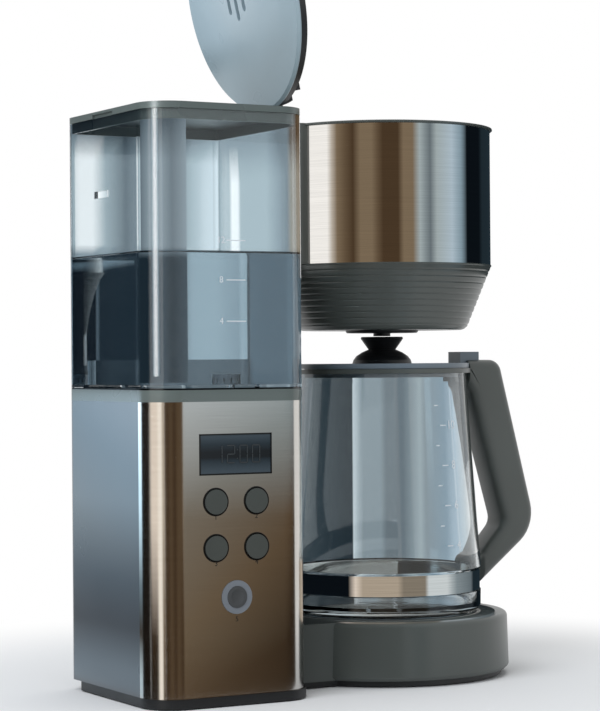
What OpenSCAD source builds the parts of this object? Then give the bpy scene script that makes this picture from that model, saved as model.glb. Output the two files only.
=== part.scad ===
// Drip coffee maker. A tower carries the controls and, on top, a clear water tank. Beside it
// a round brew head hangs over a glass carafe, which stands on a round warming base.
// +Z is up and -Y is the front. The origin lies on the table, in the middle of the footprint.

/* [Tower] */
// Width of the tower
tower_w = 110; // [95:1:130]
// Depth of the tower
tower_d = 125.5; // [110:0.5:140]
// Radius of the two front corners
corner_r = 21.5; // [16:0.5:26]
// Radius of the two rear corners
rear_r = 6; // [4:0.5:9]
// Wall of the plastic housings
wall = 2.4; // [2:0.1:3]
// Thickness of the steel front sheet
sheet_t = 0.8; // [0.6:0.1:1.2]
// Height of the lower housing, above the skirt
housing_h = 178; // [170:1:200]
// Height of the deck that carries the tank
deck_h = 7.2; // [6:0.2:9]
// Height of the black skirt under the tower
skirt_h = 6.5; // [5.5:0.5:8]
// How far the skirt stands proud of the tower's front and right side
skirt_proud = 1; // [0.5:0.1:2]
// How far the skirt's rear edge lies in front of the tower's rear
skirt_back_in = 12; // [8:0.5:16]

/* [Tank] */
// Height of the tank's walls
tank_h = 169; // [150:1:190]
// Wall of the clear tank
tank_wall = 2.4; // [2:0.1:3]
// Thickness of the tank lid
lid_t = 4.3; // [3.5:0.1:6]
// Depth of the lip under the tank lid
lip_h = 6; // [4:1:20]
// Length of the finger notch in the lid's left edge
notch_l = 30; // [20:1:40]
// Outer radius of the tank's outlet spigot
spigot_r = 8; // [6.5:0.1:9]
// Length of the overflow slot in the tank's left side
overflow_w = 19; // [12:0.5:26]

/* [Controls] */
// Width of the display window
display_w = 49.5; // [40:0.5:60]
// Height of the display window
display_h = 24.8; // [18:0.2:30]
// From the top of the lower housing down to the middle of the display
display_drop = 31.9; // [28:0.1:36]
// From the middle of the display down to the upper row of buttons
upper_drop = 28.6; // [25:0.1:32]
// From the upper row of buttons to the lower row
row_pitch = 27.9; // [22:0.1:32]
// From the lower row of buttons down to the power button
power_drop = 30.1; // [26:0.1:34]
// Between the two columns of buttons
button_pitch = 27.7; // [24:0.1:34]
// Radius of the four small buttons
button_r = 7.5; // [6:0.1:8.5]
// Radius of the power button
power_r = 6.6; // [5:0.1:7.5]
// Outer radius of the light ring round the power button
ring_r = 10.2; // [9:0.1:11.5]
// How far a button stands proud of the front sheet
button_proud = 0.9; // [0.5:0.1:1.6]
// Travel of a button
button_travel = 1.2; // [0.8:0.1:1.6]

/* [Warming base] */
// Radius of the round base
base_r = 83; // [80:0.5:90]
// Height of the base above the table
base_h = 41.2; // [38:0.2:46]
// Height of the black skirt under the round base
base_skirt_h = 4.4; // [3.8:0.1:5]
// How far that skirt lies inside the base's edge
base_skirt_in = 5.1; // [3:0.1:7]
// Radius of the warming plate
plate_r = 62; // [60:0.5:64]
// Thickness of the warming plate
plate_t = 1.6; // [1.2:0.1:2.4]
// From the head's axis to the front face of the neck
neck_half = 48; // [42:0.5:54]
// Radius of the boiler tube's coil
boiler_r = 36.5; // [33:0.5:38]
// Radius of the heating tube's coil
heater_r = 47.5; // [46:0.5:49]
// Height of the rubber feet below the skirt
foot_h = 0.8; // [0.5:0.1:1.5]

/* [Brew head] */
// From the tower's middle to the head's axis, along X
head_pitch = 156; // [152:0.5:165]
// From the tower's front to the head's axis, along Y
head_setback = 86; // [82:0.5:88]
// Radius of the polished band
band_r = 73; // [72:0.5:78]
// Height of the ribbed lower part
cone_h = 42.8; // [38:0.2:48]
// Radius at the bottom of the ribbed part
cone_r = 56.3; // [54:0.1:60]
// Ribs round the lower part
rib_count = 10; // [6:1:14]
// How deep the grooves between the ribs are
rib_depth = 0.5; // [0.3:0.1:0.8]
// Height of the rim ring on top
rim_h = 1.8; // [1.2:0.1:3]
// Half the width of the column, along Y
column_half = 23; // [20:0.5:26]
// Length of the column, along X
column_l = 23.6; // [21:0.2:25]
// Radius of the water spout
spout_r = 4; // [3.5:0.1:4.5]

/* [Brew lid] */
// Radius of the brew lid
brew_lid_r = 71.6; // [71:0.1:73]
// Height of the lid's black frame above the head's rim
frame_h = 4.4; // [3.8:0.1:6]
// Thickness of the lid's outer shell at its edge
shell_t = 2.4; // [1.8:0.1:3]
// How much higher the shell is in its middle
shell_crown = 1.4; // [0.5:0.1:3]
// How deep the lid's plug reaches into the head
plug_h = 8.2; // [6:0.1:9]
// Radius of the plug
plug_r = 57; // [50:0.5:58]
// Radius of the shower plate under the plug
shower_r = 20; // [16:0.5:24]
// How far the lid stands open at rest
lid_open = 103; // [96:1:104]
// Radius of the hinge pin
pin_r = 1.5; // [1.2:0.1:1.8]

/* [Filter] */
// Radius of the filter basket at its top
basket_r = 59.5; // [57:0.1:60]
// Radius of the basket's foot, seen below the head
foot_r = 24.2; // [22:0.1:28]
// Radius of the drip-stop plunger
plunger_r = 5.7; // [4.5:0.1:6.5]
// Travel of the drip-stop plunger
plunger_travel = 3; // [2:0.1:4]
// Wall of the filter mesh
mesh_t = 0.8; // [0.6:0.1:1.2]

/* [Carafe] */
// Height of the glass
glass_h = 161.4; // [140:0.2:175]
// Wall of the glass
glass_t = 2.6; // [2:0.1:3.5]
// Radius of the glass just above the steel strap
glass_r = 65; // [62:0.2:68]
// Radius of the glass at its mouth
mouth_r = 55.6; // [52:0.2:60]
// Height of the steel strap
strap_h = 13.1; // [10:0.1:16]
// Height of the collar round the mouth
collar_h = 3; // [2.5:0.1:5]
// From the lid's top to the funnel cup's rim
funnel_h = 17.8; // [14:0.2:21]
// From the funnel cup's rim up to the head's underside
head_clear = 4.4; // [4:0.2:8]
// Radius of the funnel cup's rim
cup_r = 14.2; // [12.5:0.1:17]
// Radius of the dome under the cup
dome_r = 20; // [18:0.2:24]
// Width of the handle
handle_w = 26; // [22:0.5:30]
// Thickness of the handle's grip, along X
grip_t = 25.4; // [20:0.2:28]
// From the carafe's axis to the handle's outer edge
handle_reach = 115.2; // [110:0.2:122]

/* [Clearances] */
// Between pieces that move past each other
gap = 0.3; // [0.2:0.05:0.5]
// Between a turning or sliding piece and its bore
running = 0.08; // [0.04:0.01:0.1]
// Between fixed pieces that are fitted together
seat = 0.1; // [0.05:0.01:0.15]

/* [Hidden] */
$fn = 96;

// Colours
steel = "#b9b2a8";
polished = "#c9c5bf";
grey = "#5c625f";
blue_grey = "#6f7f8c";
light_grey = "#9fb0ba";
black = "#1b1c1e";
rubber = "#26282a";
clear_grey = [0.62, 0.68, 0.72, 0.45];
clear_glass = [0.80, 0.86, 0.88, 0.35];
board_green = "#2f5d46";
metal = "#a7abad";
silicone = "#d8d5cc";
brass_tone = "#a88f52";

// The plan: the footprint is centred on the origin
overall_w = tower_w / 2 + head_pitch + handle_reach;
overall_d = skirt_proud + head_setback + base_r;
tower_x = -overall_w / 2 + tower_w / 2;
tower_front = -overall_d / 2 + skirt_proud;
tower_back = tower_front + tower_d;
skirt_back = tower_back - skirt_back_in;
tower_right = tower_x + tower_w / 2;
head_x = tower_x + head_pitch;
head_y = tower_front + head_setback;
through = 1; // how far a cut runs past the face it opens

// The heights
housing_top = skirt_h + housing_h;
deck_top = housing_top + deck_h;
tank_top = deck_top + tank_h;
rim_z = tank_top;
head_top = rim_z + rim_h;
plate_top = base_h + 0.1;
carafe_z = plate_top + gap;
glass_top = carafe_z + glass_h;
lid_z = glass_top + gap;
lid_top = lid_z + 3.2;
cup_z = lid_top + funnel_h;
head_z = cup_z + head_clear;
cone_top = head_z + cone_h;
nozzle_z = cup_z + 0.5;

// The tower's parts
shell_in = wall + sheet_t + seat;
plate_floor = 2.5;
floor_z = foot_h + plate_floor;
screw_r = 1.4;
screw_head_r = 2.8;
screw_l = 12;
boss_r = 3.6;
cover_t = 2;
cover_w = tower_w - 2 * (rear_r + 4);
cover_h = housing_h - 16;
cover_z = skirt_h + 8;
ledge_w = 9;
gland_r = 6;
gland_z = 30;
gland_x = tower_x - tower_w / 4;
tower_screws = [
    [tower_x - tower_w / 2 + 24, tower_front + 12], [tower_x + tower_w / 2 - 24, tower_front + 12],
    [tower_x - tower_w / 2 + 12, skirt_back - 8], [tower_x + tower_w / 2 - 12, skirt_back - 8]
];
base_screw_at = [0, 110, 250];
base_screw_rho = base_r - base_skirt_in - wall - boss_r - gap;
feet_at = [
    [tower_x - tower_w / 2 + 14, tower_front + 26], [tower_x - tower_w / 2 + 14, skirt_back - 18],
    [head_x + base_r * 0.5, head_y - base_r * 0.58], [head_x + base_r * 0.5, head_y + base_r * 0.58]
];
foot_pad_r = 6;
foot_peg_r = 2;
cover_screws = [for (x = [-1, 1], z = [-1, 1])
    [tower_x + x * (cover_w / 2 - ledge_w / 2), cover_z + cover_h / 2 + z * (cover_h / 2 - ledge_w / 2)]];

// The controls
display_z = housing_top - display_drop;
upper_z = display_z - upper_drop;
lower_z = upper_z - row_pitch;
power_z = lower_z - power_drop;
hole_gap = 0.55;
flange_t = 1.2;
flange_y = tower_front + shell_in + 0.2;
button_end = flange_y + flange_t + 2.4;
switch_y = button_end + button_travel + 0.1;
switch_t = 3.5;
board_y = switch_y + switch_t;
board_t = 1.6;
board_w = 2 * corner_r + button_pitch + 6;
board_low = power_z - ring_r - 6;
board_high = display_z + display_h / 2 + 3;
window_t = 2;
small_buttons = [
    [tower_x - button_pitch / 2, upper_z], [tower_x + button_pitch / 2, upper_z],
    [tower_x - button_pitch / 2, lower_z], [tower_x + button_pitch / 2, lower_z]
];
power_at = [tower_x, power_z];
board_posts = [for (x = [-1, 1], z = [board_low + 4, board_high - 4]) [tower_x + x * (board_w / 2 - 4), z]];

// The water's way
outlet_x = tower_x + tower_w / 4 - 7;
hose_in = 4.1;
hose_out = 6;
hose_z = 27;
hose_bend = 14;
spigot_end = deck_top - 24;
cold_y = head_y - 2 * hose_out - 2;
cold_turn = asin((head_y - cold_y) / boiler_r);
cold_stub_x = head_x - boiler_r * cos(cold_turn);
hot_stub_x = head_x - boiler_r;
stub_l = 20;
tube_r = 4.3;
tube_z = plate_top - plate_t - tube_r;
riser_x = tower_right + seat + column_l / 2;
spout_in = spout_r - 1.3;
spout_rho = basket_r + spout_r + 0.8;
spout_x = head_x - spout_rho;
spout_top = head_top - plug_h - 1.6;
spout_z = spout_top - 6.6;

// The base
neck_front = head_y - neck_half;
neck_back = skirt_back + 1;
neck_x = tower_right + skirt_proud + seat;
seal_w = 2.6;
seal_t = 1.6;
ledge_z = plate_top - plate_t - seal_t;
base_round = 3;

// The head
liner_r = band_r - 0.5;
liner_t = 2.1;
bore_r = liner_r - liner_t;
rim_r = band_r + 1.6;
column_x0 = tower_right + seat;
column_x1 = column_x0 + column_l;
ledge_top = spout_z - spout_r - 0.8 - 2.4;
flange_z = ledge_top + gap;
basket_flange_r = bore_r - 0.9;
foot_z = head_z - 1.8;
foot_hole_r = foot_r + 0.8;
pack_floor = head_z + 4.5;

// The brew lid, drawn closed and then turned open about the hinge
hinge_x = column_x1 - 3.5;
hinge_z = head_top + 0.6;
frame_z = head_top + 0.4;
shell_z = frame_z + frame_h;
plug_z = head_top + 0.4 - plug_h;
knuckle_r = pin_r + 1.9;
ear_r = pin_r + 2.6;
ear_t = 5;
knuckle_half = column_half - ear_t - 2 - gap;
arm_end = head_x - plug_r + 1.2;
guide_h = 9.3;
lid_turn = -lid_open;

// The filter
frame_top = flange_z + 2.4;
mesh_r = basket_r - 5;
mesh_low = pack_floor + 15;
mesh_low_r = foot_r + 1;
bail_r = mesh_r - 1.6;
bail_wire = 1.5;
bail_z = frame_top + 1.9 + bail_wire + gap;

// The carafe
waist_r = 9.1;
strap_z = carafe_z + 14.8;
strap_t = 0.6;
strap_r = glass_r - 1.5;
collar_z = glass_top - collar_h;
collar_r = mouth_r + 3.4;
carafe_pin_rho = collar_r + 9.6;
carafe_pin_z = glass_top - 0.6;
carafe_pin_r = 1.6;
block_top = lid_top + 2;

// ---------------------------------------------------------------- shared shapes

// A plan with two front corners and two rear corners of their own radii, front edge on y = 0
module rounded_plan(w, d, front_r, back_r) {
    translate([-w / 2, front_r]) square([w, d - front_r - back_r]);
    translate([-w / 2 + front_r, 0]) square([w - 2 * front_r, d / 2]);
    translate([-w / 2 + back_r, d / 2]) square([w - 2 * back_r, d / 2]);
    for (s = [-1, 1]) {
        translate([s * (w / 2 - front_r), front_r]) circle(front_r);
        translate([s * (w / 2 - back_r), d - back_r]) circle(back_r);
    }
}

module tower_plan(inset = 0) {
    translate([tower_x, tower_front + inset])
        rounded_plan(tower_w - 2 * inset, tower_d - 2 * inset, corner_r - inset, max(rear_r - inset, 1));
}

module tower_slab(inset, z0, z1) {
    translate([0, 0, z0]) linear_extrude(z1 - z0) tower_plan(inset);
}

module tower_ring(inset, t, z0, z1) {
    translate([0, 0, z0]) linear_extrude(z1 - z0) difference() {
        tower_plan(inset);
        tower_plan(inset + t);
    }
}

module box(low, high) {
    translate(low) cube(high - low);
}

// A round rod from point a to point b
module rod(a, b, r) {
    v = b - a;
    translate(a) rotate([0, acos(v[2] / norm(v)), atan2(v[1], v[0])]) cylinder(h = norm(v), r = r, $fn = 32);
}

// A round tube through a list of points, with ball bends
module pipe(points, r) {
    for (i = [1:len(points) - 1]) rod(points[i - 1], points[i], r);
    if (len(points) > 2)
        for (i = [1:len(points) - 2]) translate(points[i]) sphere(r, $fn = 32);
}

// A rod along Y, from the tower's front face inwards: at = [x, z], from and to measured from y = 0
module front_rod(at, from, to, r) {
    translate([at[0], from, at[1]]) rotate([-90, 0, 0]) cylinder(h = to - from, r = r);
}

module at_head(z = 0) {
    translate([head_x, head_y, z]) children();
}

// A closed tube swept along a list of points
function ring_points(p, q, r, n) =
    let (t = (q - p) / norm(q - p), a = cross([0, 0, 1], t), u = a / norm(a), v = cross(t, u))
    [for (k = [0:n - 1]) p + r * (cos(360 * k / n) * u + sin(360 * k / n) * v)];

module swept(path, r, n) {
    m = len(path) - 1;
    points = [for (i = [0:m - 1]) each ring_points(path[i], path[i + 1], r, n)];
    faces = concat(
        [[for (k = [0:n - 1]) k]],
        [for (i = [0:m - 2], k = [0:n - 1])
            [i * n + k, (i + 1) * n + k, (i + 1) * n + (k + 1) % n, i * n + (k + 1) % n]],
        [[for (k = [n - 1:-1:0]) (m - 1) * n + k]]
    );
    polyhedron(points, faces);
}

// Points of a polygon with each corner [x, y, radius] rounded by an arc
function corner_arc(a, b, c, n = 6) =
    let (
        p = [b[0], b[1]], u = [a[0], a[1]] - p, v = [c[0], c[1]] - p,
        un = u / norm(u), vn = v / norm(v), half = acos(un * vn) / 2,
        reach = b[2] / tan(half), mid = p + (un + vn) / norm(un + vn) * b[2] / sin(half),
        from = p + un * reach - mid, to = p + vn * reach - mid,
        a0 = atan2(from[1], from[0]), turn = (atan2(to[1], to[0]) - a0 + 540) % 360 - 180
    )
    b[2] == 0 ? [p] : [for (i = [0:n]) mid + b[2] * [cos(a0 + turn * i / n), sin(a0 + turn * i / n)]];

function rounded_points(c) =
    [for (i = [0:len(c) - 1]) each corner_arc(c[(i + len(c) - 1) % len(c)], c[i], c[(i + 1) % len(c)])];

// ---------------------------------------------------------------- the tower

module skirt_plan(inset = 0) {
    translate([tower_x + skirt_proud / 2, tower_front - skirt_proud + inset])
        rounded_plan(tower_w + skirt_proud - 2 * inset, skirt_back - tower_front + skirt_proud - 2 * inset,
            corner_r - inset, max(rear_r - inset, 1));
}

module base_skirt_plan(inset = 0) {
    translate([head_x, head_y]) circle(base_r - base_skirt_in - inset);
    translate([tower_right - wall - 1, neck_front + 2 + inset])
        square([head_pitch - tower_w / 2, neck_back - neck_front - 4 - 2 * inset]);
}

// The black bottom cover: a shallow tray under the tower, the neck and the round base
module bottom_plate() {
    color(black) difference() {
        union() {
            translate([0, 0, foot_h]) linear_extrude(skirt_h - foot_h) skirt_plan();
            translate([0, 0, foot_h]) linear_extrude(base_skirt_h - foot_h) base_skirt_plan();
        }
        translate([0, 0, floor_z]) linear_extrude(skirt_h) skirt_plan(wall);
        translate([0, 0, floor_z]) linear_extrude(skirt_h) base_skirt_plan(wall);
        for (p = concat(tower_screws, base_screws())) translate([p[0], p[1], foot_h - through]) {
            cylinder(h = floor_z + 2 * through, r = screw_r + 0.2, $fn = 32);
            cylinder(h = through + 1.2, r = screw_head_r + 0.2, $fn = 32);
        }
        for (p = feet_at) translate([p[0], p[1], 0]) cylinder(h = floor_z + through, r = foot_peg_r + seat, $fn = 32);
    }
}

function base_screws() = [for (a = base_screw_at)
    [head_x + base_screw_rho * cos(a), head_y + base_screw_rho * sin(a)]];

// Four rubber feet, each held by a peg in the bottom cover
module rubber_feet() {
    color(rubber) for (p = feet_at) translate([p[0], p[1], 0]) {
        cylinder(h = foot_h, r = foot_pad_r, $fn = 48);
        cylinder(h = floor_z, r = foot_peg_r, $fn = 32);
    }
}

// Screws that hold the bottom cover and the rear cover
module housing_screws() {
    color(metal) {
        for (p = concat(tower_screws, base_screws())) translate([p[0], p[1], foot_h]) {
            cylinder(h = 1.2, r = screw_head_r, $fn = 32);
            cylinder(h = screw_l, r = screw_r, $fn = 32);
        }
        for (p = cover_screws) translate([p[0], tower_back, p[1]]) rotate([90, 0, 0]) {
            cylinder(h = 1.2, r = screw_head_r, $fn = 32);
            cylinder(h = screw_l, r = screw_r, $fn = 32);
        }
    }
}

// Openings that the front sheet and the housing behind it share
module front_holes(extra, y0, y1) {
    for (p = small_buttons) front_rod(p, y0, y1, button_r + extra);
    front_rod(power_at, y0, y1, ring_r + seat);
    box([tower_x - display_w / 2 - seat, y0, display_z - display_h / 2 - seat],
        [tower_x + display_w / 2 + seat, y1, display_z + display_h / 2 + seat]);
}

// The lower housing: a tall shell that stands on the skirt, open at the rear and below
module tower_housing() {
    color(blue_grey) difference() {
        union() {
            tower_ring(0, shell_in, skirt_h, housing_top);
            intersection() {
                for (p = tower_screws) translate([p[0], p[1], floor_z]) cylinder(h = screw_l + 3, r = boss_r, $fn = 32);
                tower_slab(sheet_t + 2 * seat, 0, housing_top);
            }
            for (p = [tower_screws[0], tower_screws[1]])
                box([p[0] - 1.2, tower_front + shell_in / 2, skirt_h], [p[0] + 1.2, p[1], floor_z + screw_l + 3]);
            for (p = [tower_screws[2], tower_screws[3]])
                box([p[0] - 1.2, p[1], skirt_h], [p[0] + 1.2, tower_back - shell_in / 2, floor_z + screw_l + 3]);
            intersection() {
                tower_slab(0, skirt_h, skirt_h + 2);
                box([tower_x - tower_w, skirt_back - wall + 0.4, 0], [tower_x + tower_w, tower_back + through, housing_top]);
            }
            for (p = cover_screws) translate([p[0], tower_back - cover_t - seat, p[1]]) rotate([90, 0, 0])
                cylinder(h = screw_l, r = boss_r, $fn = 32);
            for (p = board_posts) front_rod(p, tower_front + shell_in / 2, board_y, boss_r);
        }
        front_band(sheet_t + seat, skirt_h - through, housing_top + through);
        for (p = tower_screws) translate([p[0], p[1], 0]) cylinder(h = screw_l + 2, r = screw_r + 0.05, $fn = 32);
        for (p = cover_screws) translate([p[0], tower_back, p[1]]) rotate([90, 0, 0])
            cylinder(h = screw_l + 2, r = screw_r + 0.05, $fn = 32);
        front_holes(running, tower_front - through, tower_front + shell_in + through);
        cover_cut(seat, cover_t + seat);
        box([tower_x - cover_w / 2 + ledge_w, tower_back - 2 * shell_in, cover_z + ledge_w],
            [tower_x + cover_w / 2 - ledge_w, tower_back + through, cover_z + cover_h - ledge_w]);
        box([tower_right - 2 * shell_in, neck_front + 14, skirt_h + 3], [tower_right + through, neck_back - 3, base_h - 5]);
        front_rod([gland_x, gland_z], tower_back - 2 * shell_in, tower_back + through, gland_r + 2.4);
    }
}

// The part of the tower's outer skin that the front sheet covers, to a given depth
module front_band(depth, z0, z1) {
    intersection() {
        tower_ring(0, depth, z0, z1);
        box([tower_x - tower_w, tower_front - through, z0], [tower_x + tower_w, tower_front + corner_r, z1]);
    }
}

module cover_cut(extra, depth) {
    box([tower_x - cover_w / 2 - extra, tower_back - depth, cover_z - extra],
        [tower_x + cover_w / 2 + extra, tower_back + (extra > 0 ? through : 0), cover_z + cover_h + extra]);
}

// The removable rear cover, flush in the housing's rear face
module rear_cover() {
    color(blue_grey) difference() {
        cover_cut(0, cover_t);
        for (p = cover_screws) translate([p[0], tower_back + through, p[1]]) rotate([90, 0, 0]) {
            cylinder(h = cover_t + 2 * through, r = screw_r + 0.2, $fn = 32);
            cylinder(h = through + 1.2, r = screw_head_r + 0.2, $fn = 32);
        }
        front_rod([gland_x, gland_z], tower_back - cover_t - through, tower_back + through, gland_r + seat);
        for (i = [0:5])
            box([tower_x - 18, tower_back - cover_t - through, housing_top - 44 - 5 * i],
                [tower_x + 18, tower_back + through, housing_top - 42 - 5 * i]);
    }
}

// The rubber bush where the mains cord enters
module cord_gland() {
    color(rubber) difference() {
        union() {
            front_rod([gland_x, gland_z], tower_back - cover_t - 2.5, tower_back + 5, gland_r);
            front_rod([gland_x, gland_z], tower_back, tower_back + 1.8, gland_r + 2);
            front_rod([gland_x, gland_z], tower_back - cover_t - 2.5, tower_back - cover_t - 0.6, gland_r + 1.2);
        }
        front_rod([gland_x, gland_z], tower_back - 2 * cover_t - 6, tower_back + 8, gland_r - 2.4);
    }
}

// The brushed sheet that wraps the front and both front corners
module steel_front() {
    color(steel) difference() {
        front_band(sheet_t, skirt_h, housing_top);
        front_holes(hole_gap, tower_front - through, tower_front + 2);
    }
}

module display_window() {
    color(black) box([tower_x - display_w / 2, tower_front + 0.2, display_z - display_h / 2],
        [tower_x + display_w / 2, tower_front + 0.2 + window_t, display_z + display_h / 2]);
}

// The liquid crystal unit behind the window
module display_module() {
    color("#333a3a") box([tower_x - display_w / 2 + 2, tower_front + 0.2 + window_t + seat, display_z - display_h / 2 + 1.5],
        [tower_x + display_w / 2 - 2, board_y - seat, display_z + display_h / 2 - 1.5]);
}

module control_board() {
    color(board_green) box([tower_x - board_w / 2, board_y + seat, board_low],
        [tower_x + board_w / 2, board_y + seat + board_t, board_high]);
}

// Five push switches on the board, one behind each button
module button_switches() {
    color(metal) for (p = concat(small_buttons, [power_at])) {
        box([p[0] - 3, switch_y + 0.8, p[1] - 3], [p[0] + 3, board_y, p[1] + 3]);
        front_rod(p, switch_y, switch_y + 1, 1.7);
    }
}

// A button: a cap that slides through the front, a flange behind it and a stem to its switch
module push_button(at, r) {
    front_rod(at, tower_front - button_proud, flange_y + flange_t, r);
    front_rod(at, flange_y, flange_y + flange_t, r + 1.3);
    front_rod(at, flange_y, button_end, 2.2);
}

module hour_button() { color(grey) push_button(small_buttons[0], button_r); }
module minute_button() { color(grey) push_button(small_buttons[1], button_r); }
module program_button() { color(grey) push_button(small_buttons[2], button_r); }
module aroma_button() { color(grey) push_button(small_buttons[3], button_r); }

// The power button, with a dished face
module power_button() {
    color("#4a4c52") difference() {
        push_button(power_at, power_r);
        translate([power_at[0], tower_front - button_proud - power_r * 1.5, power_at[1]]) sphere(power_r * 1.65);
    }
}

// The lit ring round the power button, fixed in the front
module light_ring() {
    color("#8d98a8") difference() {
        front_rod(power_at, tower_front - 0.6, flange_y - 0.2, ring_r);
        front_rod(power_at, tower_front - through, flange_y + through, power_r + running);
    }
}

// ---------------------------------------------------------------- the tank

// The grey deck that closes the lower housing and carries the tank
module tank_deck() {
    color(grey) difference() {
        union() {
            tower_ring(0, shell_in, housing_top, deck_top);
            tower_slab(wall, deck_top - 3, deck_top);
            translate([outlet_x, cold_y, deck_top - 13]) cylinder(h = 12, r = spigot_r + 4);
        }
        translate([outlet_x, cold_y, 0]) cylinder(h = deck_top + through, r = spigot_r + seat);
        translate([outlet_x, cold_y, deck_top - 9]) cylinder(h = 2.2, r = spigot_r + 1.6);
    }
}

// The clear tank: one open shell with a spigot under its floor and an overflow slot on the left
module tank_body() {
    slot_y = tower_front + tower_d * 0.585;
    slot_z = tank_top - 47.7;
    color(clear_grey) difference() {
        union() {
            tower_slab(0, deck_top, tank_top);
            translate([outlet_x, cold_y, deck_top - 14]) cylinder(h = 15, r = spigot_r);
            translate([outlet_x, cold_y, spigot_end]) cylinder(h = 15, r = hose_in - 0.05, $fn = 48);
        }
        tower_slab(tank_wall, deck_top + 3, tank_top + through);
        translate([outlet_x, cold_y, spigot_end - through]) cylinder(h = 40, r = hose_in - 1.5, $fn = 48);
        box([tower_x - tower_w / 2 - through, slot_y - overflow_w / 2, slot_z - 2.2],
            [tower_x - tower_w / 2 + 2 * tank_wall, slot_y + overflow_w / 2, slot_z + 2.2]);
    }
}

// The ring that seals the spigot in the deck
module tank_seal() {
    color(silicone) translate([outlet_x, cold_y, deck_top - 8.9]) difference() {
        cylinder(h = 2, r = spigot_r + 1.5);
        translate([0, 0, -through]) cylinder(h = 4, r = spigot_r + 0.05);
    }
}

// A slotted cap on the tank's floor that keeps scale out of the hose
module outlet_strainer() {
    color(black) translate([outlet_x, cold_y, deck_top + 3]) difference() {
        cylinder(h = 6, r = spigot_r + 1);
        translate([0, 0, -through]) cylinder(h = 5.8, r = spigot_r - 0.6);
        for (a = [0:30:150]) rotate(a) box([-2 * spigot_r, -0.6, 1], [2 * spigot_r, 0.6, 3.6]);
    }
}

// The lift-off lid: a flat slab with a lip inside the tank and a finger notch on the left
module tank_lid() {
    notch_y = tower_front + tower_d * 0.563;
    color(grey) difference() {
        union() {
            tower_slab(0, tank_top + gap, tank_top + lid_t);
            tower_ring(tank_wall + 0.6, 1.8, tank_top - lip_h, tank_top + gap + 0.5);
        }
        box([tower_x - tower_w / 2 - through, notch_y - notch_l / 2, tank_top - through],
            [tower_x - tower_w / 2 + 1.6, notch_y + notch_l / 2, tank_top + lid_t - 1.6]);
    }
}

// ---------------------------------------------------------------- the warming base

// The round base and the neck that joins it to the tower, in one moulding
module base_housing() {
    top_in = base_r - 1;
    color(grey) difference() {
        union() {
            at_head() rotate_extrude() polygon(rounded_points([
                [0, base_skirt_h, 0], [base_r - 2, base_skirt_h, 0], [base_r, base_skirt_h + 2, 1.5],
                [top_in, base_h, base_round], [0, base_h, 0]
            ]));
            box([neck_x, neck_front, base_skirt_h], [head_x - base_r * 0.75, neck_back, base_h]);
            for (p = base_screws()) translate([p[0], p[1], floor_z]) cylinder(h = screw_l + 4, r = boss_r, $fn = 32);
        }
        difference() {
            union() {
                at_head() rotate_extrude() polygon([
                    [0, 0], [base_r - 2 - wall, 0], [base_r - wall, base_skirt_h + 3],
                    [top_in - wall, base_h - wall - 0.8], [0, base_h - wall - 0.8]
                ]);
                box([neck_x - through, neck_front + wall, 0], [head_x - base_r * 0.75, neck_back - wall, base_h - wall]);
            }
            for (p = base_screws()) translate([p[0], p[1], floor_z]) cylinder(h = base_h, r = boss_r, $fn = 32);
            at_head(ledge_z - 2.4) difference() {
                cylinder(h = base_h, r = plate_r + seal_w + wall);
                translate([0, 0, -through]) cylinder(h = base_h, r = plate_r - 2.6);
            }
        }
        at_head(ledge_z) cylinder(h = base_h, r = plate_r + seal_w + seat);
        at_head(0) cylinder(h = base_h, r = plate_r - 2.6);
        translate([riser_x, head_y, 0]) cylinder(h = base_h + through, r = hose_out + 1.5, $fn = 48);
        for (p = base_screws()) translate([p[0], p[1], 0]) cylinder(h = screw_l + 2, r = screw_r + 0.05, $fn = 32);
    }
}

// The coated warming plate, with a boss below for the bracket's screw
module warming_plate() {
    color(black) at_head() difference() {
        union() {
            translate([0, 0, plate_top - plate_t]) cylinder(h = plate_t, r = plate_r);
            translate([0, 0, tube_z]) cylinder(h = tube_r + 0.5, r = 5, $fn = 48);
        }
        translate([0, 0, tube_z - through]) cylinder(h = tube_r, r = 2 + 0.05, $fn = 32);
    }
}

// The silicone ring that seats the plate in the base
module plate_seal() {
    color(silicone) at_head() rotate_extrude() polygon([
        [plate_r - 2.2, ledge_z], [plate_r + seal_w, ledge_z], [plate_r + seal_w, plate_top - 0.3],
        [plate_r + seat, plate_top - 0.3], [plate_r + seat, plate_top - plate_t], [plate_r - 2.2, plate_top - plate_t]
    ]);
}

// The heating tube: an open loop pressed against the plate
module heater_tube() {
    color("#6d6a66") at_head(tube_z) {
        rotate(-140) rotate_extrude(angle = 280) translate([heater_r, 0]) circle(tube_r - 0.05, $fn = 32);
        for (s = [-1, 1]) rotate(s * 140) translate([heater_r, 0, 0]) rotate([-s * 90, 0, 0]) cylinder(h = 6, r = 1.6, $fn = 24);
    }
}

// The boiler tube: the water's loop inside the heating tube, with a stub for each hose
module boiler_tube() {
    color(metal) {
        at_head(tube_z) rotate(-180 + cold_turn) rotate_extrude(angle = 360 - cold_turn)
            translate([boiler_r, 0]) circle(tube_r - 0.05, $fn = 32);
        for (p = [[cold_stub_x, cold_y], [hot_stub_x, head_y]])
            pipe([[p[0], p[1], tube_z], [p[0], p[1], hose_z], [p[0] - stub_l, p[1], hose_z]], hose_in - 0.05);
    }
}

// The strip that clamps both tubes to the plate
module heater_bracket() {
    low = tube_z - tube_r - seat;
    half = heater_r * 0.15;
    color(metal) difference() {
        box([head_x - half, head_y - heater_r - 4, low - 2], [head_x + half, head_y + heater_r + 4, low]);
        at_head() cylinder(h = base_h, r = 2.2, $fn = 32);
    }
}

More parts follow.
